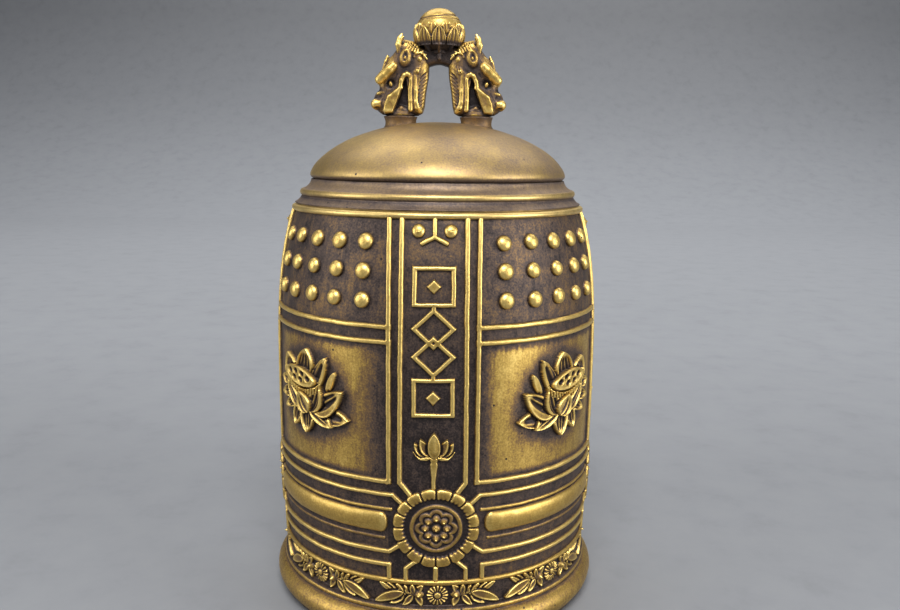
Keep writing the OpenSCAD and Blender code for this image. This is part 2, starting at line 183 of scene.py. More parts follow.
# ---- meshes ----
def mesh_object(node, made, points, quads, rub, body, slot, triangles=()):
    """A smooth-shaded piece for a CAD node, from points in mm; rub is 0 in dark patina, 1 on rubbed gold."""
    faces = [np.asarray(f, np.int64) for f in (quads, triangles) if len(f)]
    loops = np.concatenate([f.ravel() for f in faces])
    sizes = np.concatenate([np.full(len(f), f.shape[1]) for f in faces])
    mesh = bpy.data.meshes.new(f"{node}_{made}")
    mesh.vertices.add(len(points))
    mesh.vertices.foreach_set("co", (np.asarray(points, np.float64) * MM).astype(np.float32).ravel())
    mesh.loops.add(len(loops))
    mesh.loops.foreach_set("vertex_index", loops.astype(np.int32))
    mesh.polygons.add(len(sizes))
    mesh.polygons.foreach_set("loop_start", (np.cumsum(sizes) - sizes).astype(np.int32))
    mesh.polygons.foreach_set("use_smooth", np.ones(len(sizes), bool))
    mesh.update(calc_edges=True)
    mesh.validate()
    attribute = mesh.attributes.new("rub", "FLOAT", "POINT")
    attribute.data.foreach_set("value", np.clip(rub, 0, 1).astype(np.float32))
    mesh.materials.append(MATERIALS[slot])
    piece = bpy.data.objects.new(f"{node}_{made}", mesh)
    bpy.context.scene.collection.objects.link(piece)
    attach(piece, body)
    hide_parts(node)


def close_corners(keep):
    """Fills a cell where two kept cells meet only at a corner, so that the skin stays one closed surface."""
    while True:
        a, b, c, d = keep[:-1, :-1], keep[:-1, 1:], keep[1:, :-1], keep[1:, 1:]
        falling = a & d & ~b & ~c
        rising = b & c & ~a & ~d
        if not falling.any() and not rising.any():
            return keep
        keep = keep.copy()
        keep[:-1, 1:] |= falling
        keep[:-1, :-1] |= rising


def skin_faces(keep, columns):
    """Faces of a closed skin over the kept cells of a grid: top, underside and the walls between them."""
    rows, _ = keep.shape
    padded = np.pad(keep, 1)
    count = (rows + 1) * columns
    j, i = np.nonzero(keep)
    a, b = j * columns + i, j * columns + i + 1
    c, d = b + columns, a + columns
    faces = [np.stack([a, b, c, d], 1), np.stack([d, c, b, a], 1) + count]
    for first, second, dj, di in ((a, b, 0, 1), (b, c, 1, 2), (c, d, 2, 1), (d, a, 1, 0)):
        open_side = ~padded[j + dj, i + di]
        p, q = first[open_side], second[open_side]
        faces.append(np.stack([q, p, p + count, q + count], 1))
    return np.concatenate(faces)


def rub_of(height, step, top, keen):
    """Polish from a height field: high and convex places are rubbed bright, cuts and feet stay dark."""
    fine = blur(height, max(1, round(0.3 / step)))
    broad = blur(height, max(2, round(0.8 / step)))
    wide = blur(height, max(2, round(1.7 / step)))
    convex = keen * (1.0 * (height - fine) + 0.6 * (height - broad)) + 0.5 * (keen - 1) * (height - wide)
    return (0.74 - 0.18 * keen) * smooth((height + 0.05) / top) + convex + 0.10


def relief_grid(half_turn, z0, z1, height, step, rough, seed):
    """Angles, heights on the wall and heights over the ground of one part, with a hand-worked waver."""
    columns = int(round(2 * half_turn * BODY_R / step)) + 1
    rows = int(round((z1 - z0) / step)) + 1
    phi, z = np.meshgrid(np.linspace(-half_turn, half_turn, columns), np.linspace(z0, z1, rows))
    x = phi * ground_r(z)
    shift = 0.09 * rough * wobble(seed, 9, x, z)
    h = height(phi + shift / BODY_R, z + 0.09 * rough * wobble(seed + 50, 9, x, z))
    h = np.where(h > 0, h + 0.04 * rough * wobble(seed + 90, 3.5, x, z) * smooth(h / 0.4), h)
    h[:, [0, -1]] = np.minimum(h[:, [0, -1]], -SUNK)
    h[[0, -1], :] = np.minimum(h[[0, -1], :], -SUNK)
    return phi, z, np.maximum(h, -SUNK)


def relief(node, parts, step, top, rough, dim, keen=1.0, seed=1):
    """One piece of relief. Each part is (turn, half_turn, z0, z1, height); height(phi, z) is mm over the
    ground. top is the height rubbed brightest, dim darkens it all, and keen sharpens the edges' polish."""
    points, faces, rubs, start = [], [], [], 0
    for turn, half_turn, z0, z1, height in parts:
        seed += 1
        phi, z, h = relief_grid(half_turn, z0, z1, height, step, rough, seed)
        corners = [h[:-1, :-1], h[1:, :-1], h[:-1, 1:], h[1:, 1:]]
        keep = close_corners(np.maximum.reduce(corners) > -0.8 * SUNK)
        faces.append(skin_faces(keep, h.shape[1]) + start)
        start += 2 * h.size
        for level in (h, np.full_like(h, -SUNK - 0.2)):
            r = ground_r(z) + level
            points.append(np.stack([r * np.sin(phi + turn), -r * np.cos(phi + turn), z], -1).reshape(-1, 3))
            rubs.append((rub_of(h, step, top, keen) - dim).ravel())
    points, faces, rubs = np.concatenate(points), np.concatenate(faces), np.concatenate(rubs)
    used, faces = np.unique(faces, return_inverse=True)
    mesh_object(node, "cast", points[used], faces.reshape(-1, 4), rubs[used], "bell", "rubbed_brass")


def resampled(outline, step):
    """The outline with points no more than step apart, and its corners kept."""
    points = []
    for (r0, z0), (r1, z1) in zip(outline, outline[1:]):
        pieces = max(1, int(math.ceil(math.hypot(r1 - r0, z1 - z0) / step)))
        points += [(r0 + (r1 - r0) * k / pieces, z0 + (z1 - z0) * k / pieces) for k in range(pieces)]
    return np.array(points + [outline[-1]])


def arc(r, z, radius, start, end, pieces=10):
    turns = np.radians(np.linspace(start, end, pieces + 1))
    return [(r + radius * math.cos(t), z + radius * math.sin(t)) for t in turns]


def lathe(outline, segments, push=None):
    """A turned shape: outline is (r, z) points from bottom round to top, closed on itself unless it ends on
    the axis. push(phi, r, z) moves a point outwards, in mm. Returns points, quads, triangles, phi, r, z."""
    outline = np.asarray(outline, float)
    on_axis = outline[0][0] < 1e-6 and outline[-1][0] < 1e-6
    rings = outline[1:-1] if on_axis else outline
    phi, r = np.meshgrid(np.arange(segments) * 2 * math.pi / segments, rings[:, 0])
    z = np.repeat(rings[:, 1:2], segments, 1)
    if push is not None:
        along = np.gradient(rings, axis=0)
        along /= np.linalg.norm(along, axis=1)[:, None] + 1e-9
        amount = push(phi, r, z)
        r, z = r + amount * along[:, 1:2], z - amount * along[:, 0:1]
    points = np.stack([r * np.sin(phi), -r * np.cos(phi), z], -1).reshape(-1, 3)
    count = len(rings)
    j, i = np.meshgrid(np.arange(count - 1 if on_axis else count), np.arange(segments), indexing="ij")
    here, above, right = j * segments, (j + 1) % count * segments, (i + 1) % segments
    quads = np.stack([here + i, here + right, above + right, above + i], -1).reshape(-1, 4)
    triangles = np.zeros((0, 3), int)
    if on_axis:
        k = np.arange(segments)
        after, bottom, last = (k + 1) % segments, np.full_like(k, len(points)), (count - 1) * segments
        points = np.concatenate([points, [(0, 0, outline[0][1]), (0, 0, outline[-1][1])]])
        triangles = np.concatenate([np.stack([after, k, bottom], 1),
                                    np.stack([last + k, last + after, bottom + 1], 1)])
    return points, quads, triangles, phi, r, z


def turned(node, made, outline, segments, rub, slot, body="bell", push=None, at_x=0.0):
    """A lathe piece. rub(phi, r, z) gives its polish."""
    points, quads, triangles, phi, r, z = lathe(outline, segments, push)
    shade = np.broadcast_to(rub(phi, r, z), phi.shape).ravel()
    shade = np.concatenate([shade, np.full(len(points) - len(shade), shade[-1])])
    mesh_object(node, made, points + np.array([at_x, 0, 0]), quads, shade, body, slot, triangles)


class Solid:
    """A signed distance field on a grid, in mm, negative inside; shapes are added to it and cut from it.
    Every shape is given as (x, |y|, z) and lies on both sides of the mirror plane y = 0."""

    def __init__(self, lowest, highest, step):
        self.low, self.step = np.array(lowest, float), step
        counts = [int(math.ceil((b - a) / step)) + 1 for a, b in zip(lowest, highest)]
        axes = [a + step * np.arange(n) for a, n in zip(lowest, counts)]
        self.x, self.y, self.z = np.meshgrid(*axes, indexing="ij", sparse=True)
        self.d = np.full(counts, 9.0, np.float32)

    def boxes(self, lo, hi):
        """The parts of the grid that a shape lies in, as slices, with their x, |y| and z."""
        spans = [(lo[1], hi[1]), (-hi[1], -lo[1])] if lo[1] > 0 else [(-hi[1], hi[1])]
        for y0, y1 in spans:
            ends = zip((lo[0], y0, lo[2]), (hi[0], y1, hi[2]), self.low)
            cut = tuple(slice(max(0, int((a - o) / self.step)), max(0, int((b - o) / self.step) + 2))
                        for a, b, o in ends)
            yield cut, self.x[cut[0]], np.abs(self.y[:, cut[1]]), self.z[:, :, cut[2]]

    def put(self, cut, d, soft, cutting):
        """Adds a shape, or cuts it away, with its edge blended over soft mm."""
        old, way = self.d[cut], -1 if cutting else 1
        d = way * d.astype(np.float32)
        mix = np.clip(0.5 + 0.5 * way * (old - d) / soft, 0, 1)
        self.d[cut] = old + (d - old) * mix - way * soft * mix * (1 - mix)

    def rod(self, path, radii, soft=0.3, cutting=False, flat=1.0):
        """A tapering rod along a path. flat squeezes it in y."""
        path = np.array(path, float)
        for a, b, ra, rb in zip(path, path[1:], radii, radii[1:]):
            reach = max(ra, rb) + soft + 2 * self.step
            d = b - a
            for cut, x, y, z in self.boxes(np.minimum(a, b) - reach, np.maximum(a, b) + reach):
                t = ((x - a[0]) * d[0] + (y - a[1]) * d[1] + (z - a[2]) * d[2]) / max(d @ d, 1e-9)
                t = np.clip(t, 0, 1)
                gap = np.sqrt((x - a[0] - t * d[0]) ** 2 + ((y - a[1] - t * d[1]) / flat) ** 2
                              + (z - a[2] - t * d[2]) ** 2) - (ra + (rb - ra) * t)
                self.put(cut, gap, soft, cutting)

    def groove(self, path, radii, soft):
        self.rod(path, radii, soft, cutting=True)

    def egg(self, centre, radii, soft=0.3, cutting=False, tilt=0.0):
        """An ellipsoid; tilt turns it in the x-z plane, in degrees."""
        c = np.array(centre, float)
        reach = max(radii) + soft + 2 * self.step
        cos, sin = math.cos(math.radians(tilt)), math.sin(math.radians(tilt))
        for cut, x, y, z in self.boxes(c - reach, c + reach):
            u, v = (x - c[0]) * cos + (z - c[2]) * sin, (z - c[2]) * cos - (x - c[0]) * sin
            k = np.sqrt((u / radii[0]) ** 2 + ((y - c[1]) / radii[1]) ** 2 + (v / radii[2]) ** 2)
            self.put(cut, (k - 1) * min(radii), soft, cutting)

    def slab(self, outline, thickness, soft=0.3, cutting=False, rounding=2.0):
        """A side outline in x and z, as thick as thickness in |y| and rounded towards its edge."""
        x, z = self.x[:, 0, :], self.z[0]
        inside = np.zeros(np.broadcast(x, z).shape, bool)
        edge = np.full(inside.shape, 1e3)
        for (x0, z0), (x1, z1) in zip(outline, outline[1:] + outline[:1]):
            edge = np.minimum(edge, to_segment(x, z, (x0, z0), (x1, z1)))
            crosses = (z0 > z) != (z1 > z)
            inside ^= crosses & (x < x0 + (x1 - x0) * (z - z0) / ((z1 - z0) or 1e-9))
        depth = np.where(inside, edge, -edge)
        half = thickness * (0.35 + 0.65 * half_round(1 - np.clip(depth / rounding, 0, 1)))
        d = np.maximum(-depth[:, None, :], (np.abs(self.y) - half[:, None, :]) * 0.8)
        self.put((slice(None),) * 3, d, soft, cutting)

    def roughen(self, amount, scale, seed):
        self.d += (amount * wobble(seed, scale, self.x, self.y, self.z)).astype(np.float32)

    def crossings(self, axis):
        """Where the surface crosses the grid's edges along an axis, as spots in cells, the ids of the four
        cells round each, and those cells as a quad that faces outwards."""
        first, second = [slice(None)] * 3, [slice(None)] * 3
        first[axis], second[axis] = slice(None, -1), slice(1, None)
        a, b = self.d[tuple(first)], self.d[tuple(second)]
        index = np.argwhere((a < 0) != (b < 0))
        da, db = a[tuple(index.T)], b[tuple(index.T)]
        spot = index.astype(float)
        spot[:, axis] += da / (da - db)
        cells = np.array(self.d.shape) - 1
        u, v = (axis + 1) % 3, (axis + 2) % 3
        corners = []
        for du, dv in ((0, 0), (-1, 0), (-1, -1), (0, -1)):
            cell = index.copy()
            cell[:, u] += du
            cell[:, v] += dv
            corners.append(cell @ np.array([cells[1] * cells[2], cells[2], 1]))
        quad = np.stack(corners, 1)
        flip = da > 0
        quad[flip] = quad[flip][:, ::-1]
        return np.concatenate([spot] * 4), np.concatenate(corners), quad

    def mesh(self):
        """Surface net: one point in each cell that the surface crosses, one quad across each crossed edge."""
        for axis in range(3):
            for end in (0, -1):
                border = [slice(None)] * 3
                border[axis] = end
                self.d[tuple(border)] = np.maximum(self.d[tuple(border)], self.step)
        spots, ids, quads = (np.concatenate(part) for part in zip(*map(self.crossings, range(3))))
        used, order = np.unique(ids, return_inverse=True)
        count = np.bincount(order)
        points = np.stack([np.bincount(order, spots[:, k]) / count for k in range(3)], 1)
        faces = np.searchsorted(used, quads)
        for _ in range(2):
            points = 0.4 * points + 0.6 * self.neighbour_mean(points, faces)
        return points, faces

    @staticmethod
    def neighbour_mean(points, faces):
        start, end = faces.ravel(), np.roll(faces, -1, axis=1).ravel()
        a, b = np.concatenate([start, end]), np.concatenate([end, start])
        total = np.stack([np.bincount(a, points[b, k], len(points)) for k in range(3)], 1)
        return total / np.bincount(a, minlength=len(points))[:, None]

    def piece(self, node, made, slot="handle_brass", body="bell", side=1, keen=1.0, base=0.52, polish=None):
        """The meshed piece, mirrored in x for side -1, rubbed bright where convex and by polish(points)."""
        points, faces = self.mesh()
        cell = tuple(np.round(points).astype(int).T)
        rub = np.full(len(points), base)
        for scale, share in ((0.4, 1.0), (1.0, 0.45)):
            reach = max(1, round(scale / self.step))
            broad = blur(np.moveaxis(blur(self.d, reach), 0, -1), reach)
            rub += keen * share * (np.moveaxis(broad, -1, 0)[cell] - 0.02)
        points = self.low + points * self.step
        if polish is not None:
            rub += polish(points)
        if side < 0:
            points = points * np.array([-1, 1, 1])
            faces = faces[:, ::-1]
        mesh_object(node, made, points, faces, rub, body, slot)


# ---- materials ----
class Nodes:
    """Short calls for building a node tree."""

    def __init__(self, name):
        self.material = bpy.data.materials.new(name)
        self.material.use_nodes = True
        self.tree = self.material.node_tree
        self.shader = self.tree.nodes["Principled BSDF"]
        self.place = self.new("TexCoord").outputs["Object"]

    def new(self, kind):
        return self.tree.nodes.new(f"ShaderNode{kind}")

    def link(self, value, socket):
        if isinstance(value, bpy.types.NodeSocket):
            self.tree.links.new(value, socket)
        else:
            socket.default_value = value

    def math(self, operation, a, b=0.0, clamp=False):
        node = self.new("Math")
        node.operation, node.use_clamp = operation, clamp
        self.link(a, node.inputs[0])
        self.link(b, node.inputs[1])
        return node.outputs[0]

    def add(self, value, noise, share):
        """The value with a share of a noise about 0.5 added to it."""
        return self.math("ADD", value, self.math("MULTIPLY", self.math("SUBTRACT", noise, 0.5), share))

    def ramp(self, value, low_in, high_in, low_out, high_out):
        node = self.new("MapRange")
        node.interpolation_type = "SMOOTHSTEP"
        for socket, v in zip(node.inputs, (value, low_in, high_in, low_out, high_out)):
            self.link(v, socket)
        return node.outputs[0]

    def noise(self, size, detail, roughness, stretch=None):
        """Noise with features of about size mm, stretched by a scale for each axis."""
        node = self.new("TexNoise")
        place = self.place
        if stretch:
            mapping = self.new("Mapping")
            mapping.inputs["Scale"].default_value = stretch
            self.link(place, mapping.inputs["Vector"])
            place = mapping.outputs[0]
        settings = {"Vector": place, "Scale": 1 / (size * MM), "Detail": detail, "Roughness": roughness}
        for socket, value in settings.items():
            self.link(value, node.inputs[socket])
        return node.outputs["Fac"]

    def spots(self, size, share, radius):
        """1 in small spots about size mm apart, of which only a share is there; 0 elsewhere."""
        node = self.new("TexVoronoi")
        self.link(self.place, node.inputs["Vector"])
        node.inputs["Scale"].default_value = 1 / (size * MM)
        chosen = self.new("SeparateColor")
        self.link(node.outputs["Color"], chosen.inputs[0])
        there = self.math("LESS_THAN", chosen.outputs[0], share)
        reach = self.math("MULTIPLY", chosen.outputs[1], radius)
        near = self.ramp(node.outputs["Distance"], self.math("MULTIPLY", reach, 0.6), reach, 1.0, 0.0)
        return self.math("MULTIPLY", near, there)

    def colours(self, value, stops):
        node = self.new("ValToRGB")
        self.link(value, node.inputs[0])
        while len(node.color_ramp.elements) < len(stops):
            node.color_ramp.elements.new(0.5)
        for element, (at, colour) in zip(node.color_ramp.elements, stops):
            element.position = at
            element.color = (*colour, 1)
        return node.outputs[0]

    def bump(self, height, distance, strength, under=None):
        node = self.new("Bump")
        node.inputs["Distance"].default_value = distance * MM
        node.inputs["Strength"].default_value = strength
        self.link(height, node.inputs["Height"])
        if under is not None:
            self.link(under, node.inputs["Normal"])
        return node.outputs[0]


# colour from the darkest patina to the brightest rubbed gold
PATINA = [(0.0, (0.016, 0.011, 0.011)), (0.2, (0.068, 0.046, 0.037)), (0.42, (0.192, 0.115, 0.049)),
          (0.66, (0.455, 0.298, 0.077)), (1.0, (0.780, 0.562, 0.182))]
PALE = [(0.0, (0.020, 0.014, 0.014)), (0.2, (0.088, 0.064, 0.056)), (0.42, (0.236, 0.164, 0.100)),
        (0.66, (0.440, 0.305, 0.118)), (1.0, (0.770, 0.565, 0.210))]


def brass(name, grain, mottle, pits, streaks=0.0, shine=0.42, tarnish=0.55, palette=PATINA, bumps=1.0):
    """Cast brass: dark patina where rub is low, rubbed gold where it is high, with grain, brushing and
    pits. shine and tarnish are the roughness of the brightest and the darkest of it."""
    n = Nodes(name)
    fine = n.noise(0.45, 3.0, 0.65)
    medium = n.noise(2.2, 4.0, 0.6)
    brushed = n.noise(0.5, 3.0, 0.6, (1, 1, 0.045))
    pit = n.spots(1.7, pits, 0.2)
    stored = n.new("Attribute")
    stored.attribute_name = "rub"
    rub = n.add(n.add(stored.outputs["Fac"], medium, mottle), fine, grain)
    rub = n.add(rub, brushed, n.ramp(rub, 0.25, 0.55, 0.15, streaks) if streaks else 0.0)
    rub = n.math("SUBTRACT", rub, n.math("MULTIPLY", pit, 0.8), clamp=True)
    n.link(n.colours(rub, palette), n.shader.inputs["Base Color"])
    n.link(n.ramp(rub, 0.1, 0.7, 0.55, 1.0), n.shader.inputs["Metallic"])
    n.link(n.add(n.ramp(rub, 0.15, 0.95, tarnish, shine), fine, 0.12), n.shader.inputs["Roughness"])
    n.shader.inputs["IOR"].default_value = 1.5
    strokes = n.math("MULTIPLY", brushed, 0.5 * min(1, streaks * 3))
    texture = n.math("ADD", n.math("MULTIPLY", fine, 0.6), strokes)
    texture = n.math("SUBTRACT", texture, n.math("MULTIPLY", pit, 1.5))
    broad = n.bump(medium, 0.10, 0.35 * bumps)
    n.link(n.bump(texture, 0.05, 0.55 * bumps, broad), n.shader.inputs["Normal"])
    return n.material


MATERIALS = {
    "aged_brass": brass("aged_brass", grain=0.74, mottle=0.44, pits=0.22, streaks=0.24, shine=0.40),
    "rubbed_brass": brass("rubbed_brass", grain=0.50, mottle=0.30, pits=0.08),
    "crown_brass": brass("crown_brass", grain=0.50, mottle=0.18, pits=0.12, streaks=0.12, palette=PALE),
    "handle_brass": brass("handle_brass", grain=0.40, mottle=0.28, pits=0.03, bumps=0.45),
    "plain_brass": brass("plain_brass", grain=0.30, mottle=0.35, pits=0.10, tarnish=0.6),
}


# ---- relief on the straps ----
def raised(inside, height, soft=0.30):
    """Height of a raised shape with rounded shoulders, from how far inside its outline a point lies."""
    return -SUNK + (height + SUNK) * smooth((inside + soft) / (2 * soft))


def line(x, z, points, width=LINE_W, height=LINE_H):
    return raised(width / 2 - to_path(x, z, points), height)


def dome(x, z, centre, radius, height):
    """A round boss with a full top and a tight foot."""
    d = np.hypot(x - centre[0], z - centre[1]) / radius
    top = height * np.sqrt(np.clip(1 - d**2.4, 0, 1))
    return np.where(d < 1, np.maximum(top, -SUNK + 2 * (1 - d)), -SUNK)


def outside_rosette(x, z, h):
    return np.where(np.hypot(x, z - ROSETTE_Z) > ROSETTE_R - 0.5, h, -SUNK)


def strap_frame(phi, z):
    """The strap's two side lines, the twig at its top, and the lines from its rosette to the frieze."""
    x = ground_r(z) * phi
    side = np.abs(x)
    frame_line = line(side, z, [(STRAP_IN, SHOULDER_Z), (STRAP_IN + 0.3, PANEL_Z[0]), (4.4, ROSETTE_Z + 7)])
    twig = line(side, z, [(0, SHOULDER_Z), (0, 96.7), (2.7, 95.3)], 1.1, 0.7)
    low_x = x - ground_r(z) * LOW_TURN
    low_side = np.abs(low_x)
    below = highest(line(low_side, z, [(4.2, ROSETTE_Z - 8), (7, 18.9), (7, RING_Z)], 1.1),
                    line(low_side, z, [(0, ROSETTE_Z - 6), (0, RING_Z)]))
    return outside_rosette(low_x, z, np.where(z > ROSETTE_Z, highest(frame_line, twig), below))


def fret_column(phi, z):
    """A column of two squares, each with a stud in it, and two linked lozenges."""
    x = np.abs(ground_r(z) * phi)
    up = np.abs(z - (FRET_Z[0] + FRET_Z[1]) / 2)
    window = np.abs(np.maximum(x / 4.35, np.abs(up - 12.6) / 4.05) - 1) * 4.2
    h = highest(raised(0.55 - window, 0.72), raised((1.7 - x - np.abs(up - 12.6)) * 0.7, 0.72))
    for centre in (3.2, -3.2):
        lozenge = np.abs(x / 4.4 + np.abs(up - centre) / 4.1 - 1) * 3.0
        h = np.maximum(h, raised(0.55 - lozenge, 0.72))
    return np.maximum(h, line(x, up, [(0, 7.2), (0, 8.4)], 1.1, 0.72))


def petal(h, x, z, foot, tip, width, lift, rise=0.3, hollow=0.4, lean=0.0, bow=0.0, veins=3, keen=0.8):
    """Lays a petal from foot to tip over what is there: a blade that rises by rise towards its tip, with a
    bright rim round a hatched hollow. lean moves the hollow and bow bends the blade, to its right."""
    dx, dz = tip[0] - foot[0], tip[1] - foot[1]
    length = math.hypot(dx, dz)
    along = ((x - foot[0]) * dx + (z - foot[1]) * dz) / length**2
    s = np.clip(along, 0, 1)
    across = ((x - foot[0]) * dz - (z - foot[1]) * dx) / length - 4 * bow * s * (1 - s)
    widest = 0.5 / (0.5 + keen)
    half = width / 2 * (s / widest) ** 0.5 * ((1 - s) / (1 - widest)) ** keen + 1e-6
    edge = np.where((along > 0) & (along < 1), half - np.abs(across), -1.0)
    cup = smooth((0.74 * half - np.abs(across - lean * half)) / 0.4) * smooth((0.88 - s) / 0.2)
    hatch = 0.70 + 0.30 * np.cos(across / half * math.pi * veins)
    surface = lift + rise * s - hollow * cup * hatch + 0.14 * hump(edge - 0.3, 0.25)
    surface = -SUNK + (surface + SUNK) * smooth((edge + 0.12) / 0.42)
    moat = 0.45 * smooth(1 + edge / 0.7) * (edge < 0) * (along > 0.15) * (along < 1)
    laid = np.maximum(surface, np.minimum(h - 0.25, surface + 0.2))
    return np.where(edge > -0.12, laid, h - moat * (h > 0))


def lotus_sprig(phi, z):
    """A lotus bud between opening petals, on a stem with a collar, over two curled sepals."""
    x = ground_r(z) * phi - 0.3
    side = np.abs(x)
    base = SPRIG_Z - 5.8
    stem_w = 0.55 + 0.42 * smooth((z - base + 6.5) / 5.5) - 0.18 * hump(z - base + 1.4, 0.35)
    stem = np.where(z < base - 0.3, raised(stem_w - side, 0.8), -SUNK)
    sepal = to_path(side, z - base, [(1.0, -0.1), (1.9, -0.65), (3.0, -0.75), (4.0, -0.1), (4.7, 0.8)])
    h = np.maximum(stem, raised(0.78 - 0.13 * side - sepal, 0.75))
    h = petal(h, side, z, (1.6, base), (4.5, base + 3.2), 2.2, 0.5, 0.25, 0.15, bow=0.4, veins=1)
    h = petal(h, side, z, (0.7, base), (3.1, base + 4.1), 2.6, 0.6, 0.3, 0.2, bow=0.25, veins=1)
    bud = petal(h, x, z, (0, base - 0.5), (0, base + 5.7), 3.2, 0.75, 0.3, 0.0, veins=0, keen=0.7)
    ridge = 0.55 * (1 - np.clip(side / 1.4, 0, 1)) * smooth((z - base) / 1.5) * (bud > 0.6)
    return outside_rosette(x, z, bud + ridge)


def strike_rosette(phi, z):
    """Sixteen broad petals with rolled lips round a beaded, eight-lobed middle."""
    x, up = ground_r(z) * phi, (z - ROSETTE_Z) * 1.03
    r, turn = np.hypot(x, up), np.arctan2(x, up)
    petal_count, lobes = 16, 8
    share = (turn * petal_count / (2 * math.pi)) % 1 - 0.5
    beside = (0.5 - np.abs(share)) * 2 * math.pi * r / petal_count
    rim = ROSETTE_R - 0.1 - 0.55 * (2 * np.abs(share)) ** 4
    lip = 0.95 * half_round((r - (rim - 1.35)) / 1.5)
    petals = 0.30 + lip * smooth((r - 7.0) / 0.8)
    ribs = np.cos(share * 2 * math.pi * 3) * smooth((8.4 - r) / 0.9) * smooth((r - 6.2) / 0.4)
    petals = petals + 0.15 * ribs - 0.95 * hump(beside, 0.17) * smooth((r - 6.2) / 0.5)
    h = np.where(r < 6.1, 0.45, petals)
    h = np.maximum(h, 0.45 + 0.45 * half_round((r - 5.6) / 0.55) * (r < 6.15))
    eighth = np.abs(((turn * lobes / (2 * math.pi) + 0.5) % 1) - 0.5)
    scallop = 4.45 - 1.0 * (2 * eighth) ** 1.8
    h = h + 0.42 * half_round((r - scallop) / 0.62) * (r < 5.1)
    spoke = eighth * 2 * math.pi * r / lobes
    h = np.maximum(h, 0.45 + dome(spoke, r, (0, 2.5), 1.0, 0.55) * (r < 3.7))
    h = np.maximum(h, 0.45 + dome(r, 0 * r, (0, 0), 1.0, 0.62) * (r < 1))
    edge = rim - r
    return np.where(edge > -0.3, -SUNK + (h + SUNK) * smooth((edge + 0.3) / 0.5), -SUNK)


def stud_pair(phi, z):
    return dome(np.abs(ground_r(z) * phi), z, (3.6, STUD_Z), 1.55, 1.2)


# ---- relief in the quarters ----
def frame_side(phi, z):
    """Distance from a panel frame's upright, along the wall, for an angle from the middle of a quarter."""
    r = ground_r(z)
    return r * (np.abs(phi) - (QUARTER / 2 - np.arcsin(STRAP_OUT / r)))


def panel_frame(phi, z):
    """Two uprights and three bars, with small fillets where they meet."""
    beside = frame_side(phi, z)
    upright = LINE_W / 2 - np.abs(beside)
    from_foot = z - PANEL_Z[0] + LINE_W / 2
    inside = np.where(z > PANEL_Z[0] - LINE_W / 2, upright, np.minimum(upright, from_foot))
    for level in PANEL_Z:
        bar = np.minimum(LINE_W / 2 - np.abs(z - level), -beside + LINE_W / 2)
        blend = np.clip(0.5 + (inside - bar) / 1.2, 0, 1)
        inside = bar + (inside - bar) * blend + 0.3 * blend * (1 - blend)
    return raised(inside, LINE_H)


def boss_field(phi, z):
    """Three rows of five bosses, none quite in its place or of the same size."""
    h = np.full(np.shape(phi), -SUNK)
    rng = np.random.default_rng(7)
    for row in range(3):
        for column in range(5):
            jitter = rng.uniform(-0.12, 0.12, 2)
            size = 1.95 * rng.uniform(0.95, 1.04)
            x = ground_r(z) * (phi - BOSS_TURN * (column - 2)) + jitter[0]
            h = np.maximum(h, dome(x, z, (0, BOSS_Z + BOSS_DZ * row + jitter[1]), size, 1.5))
    return h


# foot, tip, width, lift, rise, hollow, lean, bow, veins and keenness of the open lotus's petals
OUTER_PETALS = [
    ((8.6, 1.0), (10.2, 7.9), 6.8, 0.7, 0.4, 0.8, 0.0, -0.3, 5, 0.8),
    ((2.2, 2.6), (1.1, 10.3), 7.2, 0.8, 0.4, 0.9, 0.10, 0.0, 5, 0.8),
    ((-1.6, 1.2), (-5.8, 9.1), 4.4, 0.9, 0.4, 0.9, 0.26, 0.0, 2, 0.8),
    ((-5.9, 0.2), (-8.6, 6.0), 2.0, 0.9, 0.2, 0.0, 0.0, 0.0, 0, 0.5),
    ((7.5, 0.4), (14.5, 0.9), 4.4, 0.7, 0.3, 0.7, 0.0, 0.0, 3, 0.8),
    ((6.2, -1.2), (14.2, -3.1), 3.8, 0.8, 0.3, 0.7, 0.0, 0.0, 3, 0.8),
    ((5.2, -2.8), (11.8, -6.2), 3.4, 0.8, 0.3, 0.7, 0.0, 0.0, 3, 0.8),
    ((4.6, -4.0), (6.6, -9.9), 4.0, 0.8, 0.3, 0.7, 0.0, 0.0, 3, 0.8),
    ((-3.4, -4.7), (-12.7, -5.1), 4.8, 0.9, 0.4, 0.8, -0.12, 0.0, 2, 0.8),
    ((1.2, -4.0), (1.1, -10.6), 5.4, 0.9, 0.4, 0.75, 0.05, 0.0, 5, 0.8),
    ((-0.2, -4.2), (-7.9, -7.6), 4.4, 1.0, 0.4, 0.6, 0.1, 0.35, 4, 0.8),
    ((-1.4, -4.4), (-11.0, 1.7), 5.8, 1.1, 0.4, 0.9, 0.36, -0.6, 4, 0.8),
]
INNER_PETALS = [
    ((3.6, -4.6), (9.9, 1.6), 3.8, 1.1, 0.2, 0.7, 0.0, 0.8, 3, 0.8),
    ((-0.6, -4.9), (-3.0, 3.2), 5.0, 1.2, 0.3, 0.9, 0.20, -0.9, 4, 0.8),
]
FRONT_PETAL = ((0.3, -5.3), (3.3, -0.4), 5.6, 1.6, 0.2, 0.65, 0.22, 0.5, 4, 0.8)
SEEDS = [(-3.5, 0.3), (-1.2, 1.0), (1.5, 0.9), (3.9, 0.3), (-0.8, -0.7), (1.9, -0.8)]


